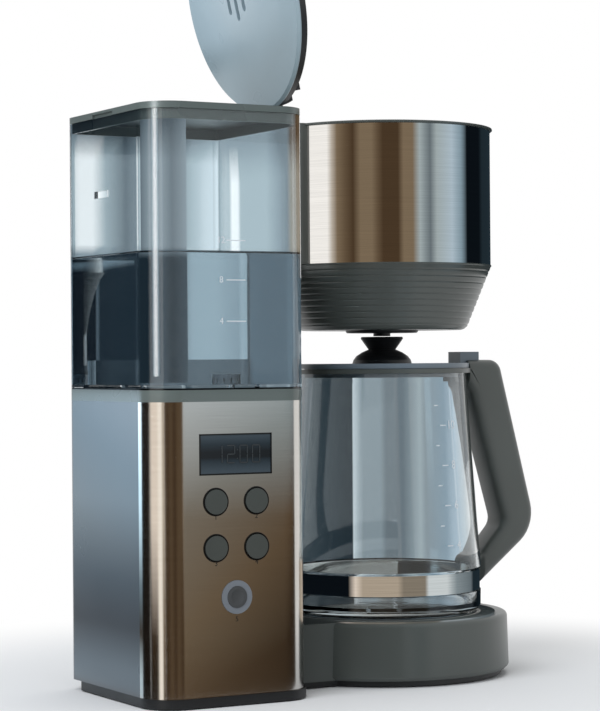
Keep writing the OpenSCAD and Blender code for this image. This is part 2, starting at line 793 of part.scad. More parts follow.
module bracket_screw() {
    low = tube_z - tube_r - seat - 2;
    color(metal) at_head() {
        translate([0, 0, low - 2.2]) cylinder(h = 2.2, r = 4, $fn = 32);
        translate([0, 0, low - 1]) cylinder(h = tube_r + 5.5, r = 2, $fn = 32);
    }
}

// The thermostat, clipped under the bracket
module thermostat() {
    low = tube_z - tube_r - seat - 2;
    color("#8c8578") translate([head_x, head_y + boiler_r - 8, 0]) {
        translate([0, 0, low - 7]) cylinder(h = 7, r = 8, $fn = 48);
        for (s = [-1, 1]) box([s * 4.5 - 1, -3, low - 12], [s * 4.5 + 1, 3, low - 6]);
    }
}

module thermal_fuse() {
    low = tube_z - tube_r - seat - 2;
    color(brass_tone) rod([head_x, head_y - boiler_r - 6, low - 2.4], [head_x, head_y - boiler_r + 14, low - 2.4], 2.4);
}

// ---------------------------------------------------------------- the water's way

// A hose that comes down at x = up and bends towards x = end, in the plane at y
module hose(up, end, y, z_top) {
    translate([up, y, hose_z + hose_bend]) hose_run(z_top - hose_z - hose_bend);
    translate([up + hose_bend, y, hose_z + hose_bend]) rotate([90, 0, 0]) rotate(180)
        rotate_extrude(angle = 90) translate([hose_bend, 0]) hose_section();
    translate([up + hose_bend, y, hose_z]) rotate([0, 90, 0]) hose_run(end - up - hose_bend);
}

module hose_run(l) {
    linear_extrude(l) hose_section();
}

module hose_section() {
    difference() {
        circle(hose_out, $fn = 32);
        circle(hose_in, $fn = 32);
    }
}

// From the tank down to the boiler
module cold_hose() {
    color(silicone) hose(outlet_x, cold_stub_x - stub_l / 2, cold_y, spigot_end + 9);
}

// The valve that keeps hot water from running back to the tank
module check_valve() {
    color("#c8c8c4") translate([outlet_x, cold_y, 60]) difference() {
        union() {
            cylinder(h = 22, r = hose_out + 2);
            translate([0, 0, 8]) cylinder(h = 6, r = hose_out + 4);
        }
        translate([0, 0, -through]) cylinder(h = 24, r = hose_out + seat, $fn = 48);
    }
}

// From the boiler up inside the column
module riser_hose() {
    color(silicone) hose(riser_x, hot_stub_x - stub_l / 2, head_y, spout_z - 8);
}

// The hot water's spout: up the column, across into the head and up to the lid's port
module outlet_spout() {
    way = [[riser_x, head_y, spout_z - 24], [riser_x, head_y, spout_z], [spout_x, head_y, spout_z], [spout_x, head_y, spout_top]];
    color(black) difference() {
        pipe(way, spout_r);
        pipe([way[0] - [0, 0, 1], way[1], way[2], way[3] + [0, 0, 1]], spout_in);
    }
}

// ---------------------------------------------------------------- the head

module hinge_place() {
    translate([hinge_x, head_y, hinge_z]) rotate([90, 0, 0]) children();
}

// The column between tower and head: hollow for the riser, with the lid's hinge ears on top
module brew_column() {
    y0 = head_y - column_half;
    y1 = head_y + column_half;
    color(grey) difference() {
        union() {
            box([column_x0, y0, base_h], [column_x1, y1, head_top]);
            box([column_x0, y0, cone_top], [head_x - band_r * 0.7, y1, head_top]);
            for (s = [-1, 1]) translate([0, s * (column_half - ear_t / 2 - 2), 0]) {
                hinge_place() cylinder(h = ear_t, r = ear_r, center = true, $fn = 48);
                box([hinge_x - ear_r, head_y - ear_t / 2, head_top - 2], [hinge_x + ear_r, head_y + ear_t / 2, hinge_z]);
            }
        }
        box([column_x0 + wall, y0 + wall, base_h - through], [column_x1 - wall, y1 - wall, head_top - 10]);
        at_head(cone_top - through) cylinder(h = head_top, r = band_r + seat);
        box([hinge_x - knuckle_r - 1.2, head_y - knuckle_half - gap, hinge_z - knuckle_r - 1],
            [hinge_x + knuckle_r + 8, head_y + knuckle_half + gap, head_top + through]);
        hinge_place() cylinder(h = 2 * column_half + 2, r = pin_r, center = true, $fn = 32);
        rod([riser_x, head_y, spout_z], [head_x, head_y, spout_z], spout_r + seat);
    }
}

function cone_at(z) = cone_r + (band_r + 0.6 - cone_r) * (z - head_z) / cone_h;

// The outer line of the ribbed part, from the bottom up
function rib_line() = [for (i = [0:rib_count - 1], k = [0:3])
    let (pitch = (cone_h - 4) / rib_count, z = head_z + 3 + pitch * (i + [0.1, 0.35, 0.45, 0.95][k]))
    [cone_at(z) - [rib_depth, 0, 0, rib_depth * 0.2][k], z]];

// The grey lower head: a ribbed bowl that runs up into a plain liner behind the band
module head_housing() {
    color(grey) difference() {
        at_head() union() {
            rotate_extrude() polygon(concat(
                [[foot_hole_r, head_z], [cone_r - 3, head_z], [cone_r - 0.9, head_z + 0.8], [cone_at(head_z + 2.6), head_z + 2.6]],
                rib_line(),
                [[band_r + 0.6, cone_top - 0.6], [band_r + 0.4, cone_top], [liner_r, cone_top], [liner_r, rim_z],
                 [bore_r, rim_z], [bore_r, cone_top - 7], [cone_r - 5, head_z + 2.6], [foot_hole_r, head_z + 2.6]]
            ));
            rotate_extrude() polygon([[basket_r + 6, ledge_top], [liner_r - 1, ledge_top],
                [liner_r - 1, ledge_top - 6], [bore_r - 0.2, ledge_top - 6]]);
        }
        at_head() rod([-2 * band_r, 0, spout_z], [0, 0, spout_z], spout_r + 0.5);
    }
}

// The polished band round the liner
module head_band() {
    color(polished) difference() {
        at_head(cone_top) cylinder(h = rim_z - cone_top, r = band_r, $fn = 180);
        at_head(cone_top - through) cylinder(h = rim_z, r = liner_r + 0.05, $fn = 180);
        at_head() rod([-2 * band_r, 0, spout_z], [0, 0, spout_z], spout_r + 0.5);
    }
}

// The grey ring that caps the band and the liner
module head_rim() {
    color(grey) difference() {
        at_head() rotate_extrude() polygon([[bore_r, rim_z], [rim_r - 0.7, rim_z], [rim_r, rim_z + 0.6],
            [rim_r - 0.2, head_top - 0.3], [rim_r - 0.8, head_top], [bore_r, head_top]]);
        box([column_x0 - through, head_y - column_half - seat, rim_z - through],
            [head_x - band_r * 0.7, head_y + column_half + seat, head_top + through]);
    }
}

// ---------------------------------------------------------------- the brew lid

module turned_lid() {
    translate([hinge_x, 0, hinge_z]) rotate([0, lid_turn, 0]) translate([-hinge_x, 0, -hinge_z]) children();
}

// The pale outer shell, crowned, with three steam slots
module lid_shell() {
    slots = [[-6.5, 3.5, 20], [3, 8.5, 30], [12.5, 3.5, 20]]; // [aside, start towards the hinge, length]
    half = 2;
    color(light_grey) turned_lid() at_head() difference() {
        union() {
            rotate_extrude() polygon([[0, shell_z], [brew_lid_r, shell_z], [brew_lid_r, shell_z + shell_t - 1.6],
                [brew_lid_r - 1.6, shell_z + shell_t], [brew_lid_r * 0.7, shell_z + shell_t + shell_crown * 0.5],
                [brew_lid_r * 0.35, shell_z + shell_t + shell_crown * 0.88],
                [brew_lid_r * 0.15, shell_z + shell_t + shell_crown], [0, shell_z + shell_t + shell_crown]]);
            rotate_extrude() translate([plug_r - 4.2, shell_z - 3]) square([1.8, 3.5]);
        }
        for (s = slots) translate([-s[1], s[0], shell_z + shell_t * 0.4]) {
            box([0, -half, 0], [s[2], half, 10]);
            for (e = [0, s[2]]) translate([e, 0, 0]) cylinder(h = 10, r = half, $fn = 24);
        }
    }
}

// The black frame: an edge ring, the plug that enters the head, and the hinge arm. The arm holds
// the water port and, either side of it, a guide that keeps drips off the hinge
module lid_frame() {
    color(black) turned_lid() difference() {
        union() {
            at_head() rotate_extrude() polygon([
                [0, plug_z], [plug_r, plug_z], [plug_r, frame_z], [brew_lid_r - 0.2, frame_z], [brew_lid_r - 0.2, shell_z],
                [plug_r - 2.2, shell_z], [plug_r - 2.2, plug_z + 2], [0, plug_z + 2]
            ]);
            for (s = [-1, 1]) translate([head_x, head_y, 0])
                box([1 - plug_r, s * 5 - 0.8, plug_z + 1], [0, s * 5 + 0.8, shell_z - 3.2]);
            hinge_place() cylinder(h = 2 * knuckle_half, r = knuckle_r, center = true, $fn = 48);
            box([hinge_x, head_y - knuckle_half, frame_z], [arm_end, head_y + knuckle_half, hinge_z + knuckle_r - 0.9]);
            intersection() {
                at_head(plug_z) cylinder(h = frame_z + 0.5 - plug_z, r = bore_r - 0.9);
                box([hinge_x, head_y - knuckle_half, 0], [arm_end, head_y + knuckle_half, head_top + 10]);
            }
            for (s = [-1, 1]) translate([arm_end, head_y + s * (spout_r + 4.5), plug_z])
                box([-6.1, -3.5, -guide_h], [-0.6, 3.5, 1]);
        }
        hinge_place() cylinder(h = 4 * column_half, r = pin_r + running, center = true, $fn = 32);
        translate([spout_x, head_y, plug_z - through]) cylinder(h = 4, r = spout_in, $fn = 32);
        box([spout_x, head_y - 2.4, plug_z + 2.2], [head_x - plug_r + 3, head_y + 2.4, plug_z + 5]);
        at_head(plug_z - through) cylinder(h = 4, r = 9, $fn = 48);
    }
}

// The perforated plate that spreads the water
module shower_plate() {
    color(black) turned_lid() at_head(plug_z - 1.8) difference() {
        cylinder(h = 1.8, r = shower_r);
        for (a = [0:30:330]) rotate(a) translate([shower_r * 0.7, 0, -through]) cylinder(h = 4, r = 1.1, $fn = 16);
        for (a = [0:60:300]) rotate(a) translate([shower_r * 0.3, 0, -through]) cylinder(h = 4, r = 1.1, $fn = 16);
    }
}

// The soft collar round the lid's water port
module lid_seal() {
    low = spout_top + gap;
    color(silicone) turned_lid() translate([spout_x, head_y, low]) difference() {
        cylinder(h = plug_z - low, r = spout_r + 0.4, $fn = 48);
        translate([0, 0, -through]) cylinder(h = 4, r = spout_in + 0.2, $fn = 32);
    }
}

module hinge_pin() {
    color(metal) hinge_place() cylinder(h = 2 * column_half - 4.4, r = pin_r - 0.01, center = true, $fn = 32);
}

// ---------------------------------------------------------------- the filter

// The lift-out basket: a deep cup on a flange, with the drip-stop's foot below
module filter_basket() {
    low_r = cone_r - 11;
    color(black) difference() {
        at_head() rotate_extrude() polygon([
            [plunger_r + running, foot_z], [foot_r - 0.8, foot_z], [foot_r, foot_z + 0.8], [foot_r, pack_floor - 1],
            [low_r, pack_floor + 5], [basket_r, flange_z], [basket_flange_r, flange_z], [basket_flange_r, flange_z + 2.4],
            [basket_r - 2, flange_z + 2.4], [low_r - 2, pack_floor + 6], [foot_r - 2, pack_floor + 1], [12.5, pack_floor + 1],
            [12.5, pack_floor + 11], [10.7, pack_floor + 11], [10.7, pack_floor], [plunger_r + running, pack_floor]
        ]);
        box([head_x - band_r, head_y - spout_r - 1.5, flange_z - through],
            [head_x - basket_r - 0.3, head_y + spout_r + 1.5, flange_z + 4]);
        for (a = [0, 60, 120]) at_head(pack_floor + 2) rotate(a) box([-16, -2, 0], [16, 2, 5]);
    }
}

// The removable filter's frame: a rim, slanted ribs and a bottom ring
module filter_frame() {
    color(black) at_head() difference() {
        union() {
            rotate_extrude() polygon([[mesh_r - 0.9, frame_top + 0.1], [basket_r, frame_top + 0.1],
                [basket_r, frame_top + 1.9], [mesh_r - 0.9, frame_top + 1.9]]);
            for (a = [0:60:300]) rotate(a - 2) rotate_extrude(angle = 4) polygon([
                [mesh_low_r, mesh_low], [mesh_r, frame_top], [mesh_r, frame_top + 0.5],
                [mesh_r + 1.6, frame_top + 0.5], [mesh_low_r + 1.6, mesh_low]]);
            rotate_extrude() polygon([[mesh_low_r - 3, mesh_low - 1.6], [mesh_low_r + 1.6, mesh_low - 1.6],
                [mesh_low_r + 1.6, mesh_low], [mesh_low_r - 3, mesh_low]]);
            for (s = [-1, 1]) box([-2.6, s * (bail_r + 3.4) - 1.5, frame_top + 1], [2.6, s * (bail_r + 3.4) + 1.5, bail_z + 2.2]);
        }
        translate([0, 0, bail_z]) rotate([90, 0, 0]) cylinder(h = 2 * band_r, r = 1 + running, center = true, $fn = 32);
    }
}

// The fine mesh cone, held by the frame
module filter_mesh() {
    color(brass_tone) at_head() rotate_extrude() polygon([
        [0, mesh_low + 0.05], [mesh_low_r - 0.05, mesh_low + 0.05], [mesh_r - 0.05, frame_top], [mesh_r - mesh_t - 0.05, frame_top],
        [mesh_low_r - mesh_t - 0.05, mesh_low + 0.05 + mesh_t], [0, mesh_low + 0.05 + mesh_t]
    ]);
}

// The wire bail that lifts the filter, folded down to the right
module filter_bail() {
    color(metal) at_head(bail_z) {
        rotate(-90) rotate_extrude(angle = 180) translate([bail_r, 0]) circle(bail_wire, $fn = 24);
        for (s = [-1, 1]) rod([0, s * bail_r, 0], [0, s * (bail_r + 4.6), 0], 1);
        for (s = [-1, 1]) translate([0, s * bail_r, 0]) sphere(bail_wire, $fn = 24);
    }
}

// The plunger that the carafe's cup lifts to let the coffee through
module drip_plunger() {
    color(black) at_head() {
        translate([0, 0, nozzle_z]) cylinder(h = pack_floor + 1.4 - nozzle_z, r = plunger_r, $fn = 48);
        translate([0, 0, pack_floor + 1.2]) cylinder(h = 1.4, r = 8.8, $fn = 48);
        translate([0, 0, pack_floor + 2]) cylinder(h = 7.4, r = 2, $fn = 32);
    }
}

// The spring that holds the plunger down
module drip_spring() {
    low = pack_floor + 2.6 + 0.55;
    high = pack_floor + 11 - 0.55;
    turns = 4;
    steps = 16;
    color(metal) at_head() swept([for (i = [0:turns * steps + 1])
        [5.4 * cos(360 * i / steps), 5.4 * sin(360 * i / steps), low + (high - low) * i / (turns * steps + 1)]], 0.5, 8);
}

// The washer under the plunger's flange
module drip_seal() {
    color(silicone) at_head(pack_floor) difference() {
        cylinder(h = 1, r = 8.8, $fn = 48);
        translate([0, 0, -through]) cylinder(h = 4, r = plunger_r + 0.4, $fn = 48);
    }
}

// The cap that closes the spring's cage
module valve_cap() {
    color(black) at_head(pack_floor + 11) difference() {
        cylinder(h = 1.6, r = 12.5, $fn = 48);
        translate([0, 0, -through]) cylinder(h = 4, r = 2.3, $fn = 32);
    }
}

// ---------------------------------------------------------------- the carafe

// The glass: heavy bottom, a groove for the strap, walls that narrow to the mouth
module carafe_glass() {
    z = carafe_z;
    bulge = strap_z + strap_h + 1.5;
    color(clear_glass) at_head() rotate_extrude() polygon(concat(
        rounded_points([[0, z, 0], [glass_r - 0.4, z, 5], [glass_r - 0.2, strap_z - 0.6, 0]]),
        [[strap_r, strap_z - 0.2], [strap_r, strap_z + strap_h + 0.2], [glass_r, bulge], [mouth_r + 0.4, glass_top - 9], [mouth_r, glass_top],
         [mouth_r - glass_t, glass_top], [mouth_r + 0.4 - glass_t, glass_top - 9], [glass_r - glass_t, bulge],
         [glass_r - glass_t - 1.6, strap_z], [glass_r - glass_t - 2.4, z + 7], [glass_r - glass_t - 8, z + 4.4], [glass_r * 0.3, z + 4], [0, z + 4]]
    ));
}

// The steel strap round the glass, which holds the handle's foot
module carafe_strap() {
    color(polished) at_head(strap_z) difference() {
        union() {
            cylinder(h = strap_h, r = strap_r + 0.05 + strap_t, $fn = 180);
            box([strap_r - 1, -5, 0], [strap_r + 3.4, 5, strap_h]);
        }
        rod([strap_r + 1.4, 0, strap_h / 2], [strap_r + 14, 0, strap_h / 2], screw_r + 0.05);
        translate([0, 0, -through]) cylinder(h = 2 * strap_h, r = strap_r + 0.05, $fn = 180);
    }
}

// The grey collar clamped round the mouth, with a lug for the handle
module carafe_collar() {
    color(grey) at_head() difference() {
        union() {
            translate([0, 0, collar_z]) cylinder(h = collar_h, r = collar_r);
            box([mouth_r, -handle_w / 2 + 4.6, collar_z - 6], [collar_r + 3, handle_w / 2 - 4.6, glass_top]);
        }
        translate([0, 0, collar_z - 10]) cylinder(h = collar_h + 20, r = mouth_r + 1.2);
    }
}

// The handle's side view, [distance from the axis, height, corner radius], clockwise from the top
function handle_line() = let (
        lean = 0.305, foot = strap_z, out = handle_reach + 0.4, top_in = collar_r + 3.3, bend = carafe_z + 61,
        grip_top = glass_top - 17
    ) [
        [top_in, block_top, 1], [out - 27.5, block_top, 9], [out, bend, 8], [out - 6.5, bend - 16, 9],
        [strap_r + 6.5, foot - 0.5, 3], [strap_r + 3.6, foot - 0.5, 0.5], [strap_r + 3.6, foot + strap_h + 6, 0.5],
        [strap_r + 8.5, foot + strap_h + 8, 6], [out - grip_t, bend - 5, 7],
        [out - grip_t - lean * (grip_top - bend), grip_top, 5], [top_in, grip_top + 4, 1]
    ];

// The handle: a bar that leans out from the collar and turns back to the strap
module carafe_handle() {
    slot = 8;
    color(grey) at_head() difference() {
        translate([0, handle_w / 2, 0]) rotate([90, 0, 0]) linear_extrude(handle_w) polygon(rounded_points(handle_line()));
        box([0, -slot, carafe_pin_z - 4.4], [carafe_pin_rho + 5, slot, block_top + through]);
        translate([carafe_pin_rho, 0, carafe_pin_z]) rotate([90, 0, 0]) cylinder(h = 2 * handle_w, r = carafe_pin_r, center = true, $fn = 32);
        rod([strap_r + 2, 0, strap_z + strap_h / 2], [strap_r + 14, 0, strap_z + strap_h / 2], screw_r + 0.05);
    }
}

// The screw that pulls the strap to the handle
module strap_screw() {
    color(metal) at_head() rod([strap_r + 1.5, 0, strap_z + strap_h / 2], [strap_r + 13, 0, strap_z + strap_h / 2], screw_r);
}

// The grey lid: a flat ring with the thumb lever over its hinge
module carafe_lid() {
    half = 7.4;
    color(grey) at_head() difference() {
        union() {
            translate([0, 0, lid_z]) cylinder(h = lid_top - lid_z, r = collar_r - 1);
            translate([0, 0, lid_z - 6]) cylinder(h = 6.5, r = mouth_r - glass_t - 0.8);
            box([mouth_r - 10, -half, lid_z], [carafe_pin_rho, half, lid_top]);
            box([collar_r - 1.5, -half, lid_z + 0.5], [carafe_pin_rho + 4, half, lid_top + 7.5]);
            translate([carafe_pin_rho, 0, carafe_pin_z]) rotate([90, 0, 0]) cylinder(h = 2 * half, r = 3.8, center = true, $fn = 48);
        }
        translate([0, 0, lid_z - 8]) cylinder(h = 20, r = dome_r + 0.2);
        translate([0, 0, lid_z - 8]) cylinder(h = 8.5, r = mouth_r - glass_t - 3);
        translate([carafe_pin_rho, 0, carafe_pin_z]) rotate([90, 0, 0]) cylinder(h = 4 * half, r = carafe_pin_r + running, center = true, $fn = 32);
    }
}

// The black insert: a dome with a cup on top that catches the drips
module carafe_funnel() {
    waist = cup_z - 8.4;
    color(black) at_head() rotate_extrude() polygon([
        [dome_r, lid_z + 0.5], [dome_r, lid_top - 0.2], [dome_r - 0.8, lid_top + 2.4], [dome_r - 2.8, lid_top + 5],
        [dome_r - 6.4, lid_top + 7.4], [waist_r, waist], [cup_r, cup_z - 1.2], [cup_r - 0.4, cup_z],
        [cup_r - 1.6, cup_z - 0.2], [waist_r - 2, waist - 1.2], [5, waist - 3.2], [5, lid_z - 4], [7, lid_z - 4],
        [7, lid_top + 3.4], [dome_r - 7.6, lid_top + 4.2], [dome_r - 4.6, lid_top + 2.4], [dome_r - 2, lid_z + 0.5]
    ]);
}

module carafe_lid_pin() {
    color(metal) at_head() translate([carafe_pin_rho, 0, carafe_pin_z]) rotate([90, 0, 0])
        cylinder(h = handle_w - 1, r = carafe_pin_r - 0.01, center = true, $fn = 32);
}

bottom_plate();
rubber_feet();
housing_screws();
tower_housing();
rear_cover();
cord_gland();
steel_front();
display_window();
display_module();
control_board();
button_switches();
hour_button();
minute_button();
program_button();
aroma_button();
power_button();
light_ring();
tank_deck();
tank_body();
tank_seal();
outlet_strainer();
tank_lid();
base_housing();
warming_plate();
plate_seal();
heater_tube();
boiler_tube();
heater_bracket();
bracket_screw();
thermostat();
thermal_fuse();
cold_hose();
check_valve();
riser_hose();
brew_column();
outlet_spout();
head_housing();
head_band();
head_rim();
filter_basket();
filter_frame();
filter_mesh();
filter_bail();
drip_plunger();
drip_spring();
drip_seal();
valve_cap();
lid_shell();
lid_frame();
shower_plate();
lid_seal();
hinge_pin();
carafe_glass();
carafe_strap();
carafe_collar();
carafe_handle();
strap_screw();
carafe_lid();
carafe_funnel();
carafe_lid_pin();
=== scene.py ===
from math import atan2, cos, pi, radians, sin

import bmesh
import bpy
from mathutils import Matrix, Vector


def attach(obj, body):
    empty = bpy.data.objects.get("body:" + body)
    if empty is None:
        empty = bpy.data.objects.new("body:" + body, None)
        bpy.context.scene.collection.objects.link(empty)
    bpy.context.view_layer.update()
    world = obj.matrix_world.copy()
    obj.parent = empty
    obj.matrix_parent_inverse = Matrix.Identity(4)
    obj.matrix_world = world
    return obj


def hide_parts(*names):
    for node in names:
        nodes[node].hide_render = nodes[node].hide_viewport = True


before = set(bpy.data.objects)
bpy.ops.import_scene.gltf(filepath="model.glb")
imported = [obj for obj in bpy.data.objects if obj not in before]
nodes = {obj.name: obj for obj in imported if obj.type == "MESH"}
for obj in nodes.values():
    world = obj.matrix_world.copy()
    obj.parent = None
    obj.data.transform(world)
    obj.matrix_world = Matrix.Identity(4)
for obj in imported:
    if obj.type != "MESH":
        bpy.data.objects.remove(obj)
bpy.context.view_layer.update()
scene = bpy.context.scene
scene.view_settings.view_transform = "Standard"
MM = 0.001


# ---------------------------------------------------------------- the camera
# A 119 mm lens at the height of the tank's floor, turned 29 degrees from the front.
CAMERA_AT = (-0.76886, -1.34765, 0.20904)
CAMERA_YAW = radians(29.185)
CAMERA_PITCH = 0.00204
CAMERA_ROLL = -0.00751
LENS = 119.15

camera = bpy.data.objects.new("camera", bpy.data.cameras.new("camera"))
camera.data.sensor_width = 36
camera.data.lens = LENS
camera.data.clip_start = 0.01
turn = (Matrix.Rotation(-CAMERA_YAW, 4, "Z") @ Matrix.Rotation(pi / 2 + CAMERA_PITCH, 4, "X")
        @ Matrix.Rotation(CAMERA_ROLL, 4, "Z"))
camera.matrix_world = Matrix.Translation(CAMERA_AT) @ turn
scene.collection.objects.link(camera)
scene.camera = camera


# ---------------------------------------------------------------- the studio
# A white room with a pale floor, one broad soft lamp on the left and one above. Glowing cards stand round the
# table and close round some parts, striped with painted reflections and painted shade for the steel, the
# glass and the clear plastic to show. The camera itself never sees them.
def srgb(code):
    """A colour such as #7d8fa0 as the linear RGBA that the shaders take."""
    parts = [int(code[i:i + 2], 16) / 255 for i in (1, 3, 5)]
    return (*[c / 12.92 if c <= 0.04045 else ((c + 0.055) / 1.055) ** 2.4 for c in parts], 1)


def add(tree, kind, inputs=None, **settings):
    """A new node. Each input gets a value, or a link where the value is another node's socket."""
    made = tree.nodes.new(kind)
    for name, value in settings.items():
        setattr(made, name, value)
    for name, value in (inputs or {}).items():
        if isinstance(value, bpy.types.NodeSocket):
            tree.links.new(value, made.inputs[name])
        else:
            made.inputs[name].default_value = value
    return made


def blank(name):
    """An empty material and its node tree."""
    made = bpy.data.materials.new(name)
    made.use_nodes = True
    made.node_tree.nodes.clear()
    return made, made.node_tree


def mesh_object(name, verts, faces):
    """A mesh of points in metres, in an object at the origin."""
    made = bpy.data.meshes.new(name)
    made.from_pydata([tuple(v) for v in verts], [], faces)
    made.update()
    thing = bpy.data.objects.new(name, made)
    scene.collection.objects.link(thing)
    return thing


def seen_directly(tree):
    """1 for what the camera, a mirror or clear glass sees, and 0 for the light that falls on things."""
    path = add(tree, "ShaderNodeLightPath")
    most = add(tree, "ShaderNodeMath", {0: path.outputs["Is Camera Ray"], 1: path.outputs["Is Glossy Ray"]},
               operation="MAXIMUM")
    most = add(tree, "ShaderNodeMath", {0: most.outputs[0], 1: path.outputs["Is Transmission Ray"]},
               operation="MAXIMUM")
    return most.outputs[0]


ROOM_LEVEL = 0.54
world = bpy.data.worlds.new("white_room")
world.use_nodes = True
world.node_tree.nodes.clear()
room = world.node_tree
fill = add(room, "ShaderNodeBackground", {"Color": srgb("#f4f7fb"), "Strength": ROOM_LEVEL})
white = add(room, "ShaderNodeBackground", {"Color": (1, 1, 1, 1), "Strength": 1.0})
either = add(room, "ShaderNodeMixShader", {0: seen_directly(room), 1: fill.outputs[0], 2: white.outputs[0]})
add(room, "ShaderNodeOutputWorld", {"Surface": either.outputs[0]})
scene.world = world

# The floor is matt near the object, where it takes the shadow, and runs out into plain white
FLOOR_R = 2.5
SHADOW_R, WHITE_R = 0.2, 0.42
corners = ((-1, -1), (1, -1), (1, 1), (-1, 1))
floor = mesh_object("floor", [(x * FLOOR_R, y * FLOOR_R, 0) for x, y in corners], [(0, 1, 2, 3)])
paper, tree = blank("white_paper")
place = add(tree, "ShaderNodeTexCoord")
away = add(tree, "ShaderNodeVectorMath", {0: place.outputs["Object"]}, operation="LENGTH")
far = add(tree, "ShaderNodeMapRange", {"Value": away.outputs["Value"], "From Min": SHADOW_R,
                                       "From Max": WHITE_R}, interpolation_type="SMOOTHSTEP")
blend = add(tree, "ShaderNodeMath", {0: far.outputs[0], 1: seen_directly(tree)}, operation="MULTIPLY")
matt = add(tree, "ShaderNodeBsdfDiffuse", {"Color": srgb("#f3f3f2")})
glow = add(tree, "ShaderNodeEmission", {"Color": (1, 1, 1, 1), "Strength": 1.0})
mixed = add(tree, "ShaderNodeMixShader", {0: blend.outputs[0], 1: matt.outputs[0], 2: glow.outputs[0]})
add(tree, "ShaderNodeOutputMaterial", {"Surface": mixed.outputs[0]})
paper.cycles.emission_sampling = "NONE"
floor.data.materials.append(paper)


def lamp(name, at, size, power, colour="#ffffff", towards=(0, 0, 0.18)):
    """A flat lamp that lights matt surfaces. Mirrors see the cards instead of it."""
    made = bpy.data.lights.new(name, "AREA")
    made.shape = "RECTANGLE"
    made.size, made.size_y = size
    made.energy = power
    made.color = srgb(colour)[:3]
    thing = bpy.data.objects.new(name, made)
    thing.location = at
    thing.rotation_euler = (Vector(towards) - Vector(at)).to_track_quat("-Z", "Y").to_euler()
    thing.visible_glossy = False
    scene.collection.objects.link(thing)


lamp("window_lamp", (-1.3, -0.7, 1.1), (1.2, 1.2), 16, "#f2f7ff")
lamp("ceiling_lamp", (0.2, 0.1, 1.7), (1.4, 1.4), 8)


# Every card glows in its own tones, which are painted reflections and painted shade
def card(name, heights, stations, strength=1.0, behind=False, both=False):
    """An upright card that runs through stations = (x, y, colour at each height, or one for all). Only
    reflections see it, or only clear plastic and glass where it stands behind them."""
    verts, shades, faces = [], [], []
    for x, y, *colours in stations:
        for z, colour in zip(heights, colours if len(colours) > 1 else colours * len(heights)):
            verts.append(Vector((x, y, z)) * MM)
            shades.append([c * strength for c in srgb(colour)[:3]] + [1])
    rows = len(heights)
    for i in range(len(stations) - 1):
        for k in range(rows - 1):
            faces.append((i * rows + k, (i + 1) * rows + k, (i + 1) * rows + k + 1, i * rows + k + 1))
    thing = mesh_object(name, verts, faces)
    paint = thing.data.color_attributes.new("shade", "FLOAT_COLOR", "POINT")
    paint.data.foreach_set("color", [c for shade in shades for c in shade])
    made, tree = blank(name)
    colour = add(tree, "ShaderNodeAttribute", attribute_name="shade")
    glow = add(tree, "ShaderNodeEmission", {"Color": colour.outputs["Color"], "Strength": 1.0})
    add(tree, "ShaderNodeOutputMaterial", {"Surface": glow.outputs[0]})
    made.cycles.emission_sampling = "NONE"
    thing.data.materials.append(made)
    thing.visible_camera = False
    thing.visible_diffuse = False
    thing.visible_shadow = False
    thing.visible_glossy = both or not behind
    thing.visible_transmission = both or behind


def between(first, last, part):
    """The colour a part of the way from one code to another."""
    return "#" + "".join("%02x" % round(int(first[k:k + 2], 16) * (1 - part) + int(last[k:k + 2], 16) * part)
                         for k in (1, 3, 5))


def arc(centre, radius, stops):
    """Stations round an axis, from stops = (compass angle, colours), with steps of 4 degrees between."""
    made = []
    for (a0, *c0), (a1, *c1) in zip(stops, stops[1:]):
        steps = max(1, round(abs(a1 - a0) / 4))
        for i in range(steps + 1):
            part = i / steps
            turn = radians(a0 + (a1 - a0) * part)
            mixed = [between(p, q, part) for p, q in zip(c0, c1)]
            made.append((centre[0] + radius * sin(turn), centre[1] + radius * cos(turn), *mixed))
    return made


# The cards are painted in a few tones, as painted reflections and painted shade: a dim blue-grey room with
# daylight in it, and a brown wall
BLACK, INK, NIGHT, SLATE, ASH = "#000000", "#0c1218", "#202c34", "#404c54", "#6c7880"
MIST, SILVER, PALE, WHITE = "#8c9aa2", "#a8b6bc", "#d8e2e8", "#ffffff"
DUSK, SKY = "#88a0b0", "#b4c8d8"
SOOT, UMBER, BARK, OAK, TAN = "#201c18", "#382c20", "#4c3c2c", "#665440", "#80705c"
TAUPE, SAND, LINEN, CREAM = "#8c8478", "#b8ac9c", "#ece0d4", "#fff8ee"

# Cards run round the tower and paint the reflections in the steel front and the tank: brown in front, white
# at the left corner, dark beside it. The heights are the table, a fifth, three fifths and all of the housing,
# and the tank below and above its water.
TOWER_CORNER = (-141.6, -62.5)
FRONT_HEIGHTS = (-5, 40, 112, 188, 192, 272, 280, 420)
CORNER_CARD_R = 47.5
card("front_card", FRONT_HEIGHTS, [
    (-138, -110, OAK, TAN, TAUPE, PALE, NIGHT, NIGHT, ASH, MIST),
    (-40, -110, UMBER, UMBER, OAK, SILVER, NIGHT, NIGHT, ASH, ASH),
    (10, -110, UMBER, UMBER, BARK, MIST, NIGHT, NIGHT, SLATE, ASH)])


def wall(low, high):
    """A painted reflection's colour at each of the heights: brown low on the housing, brown above, and grey
    on the tank.
    """
    return (low, low, high, high, SLATE, SLATE, ASH, ASH)


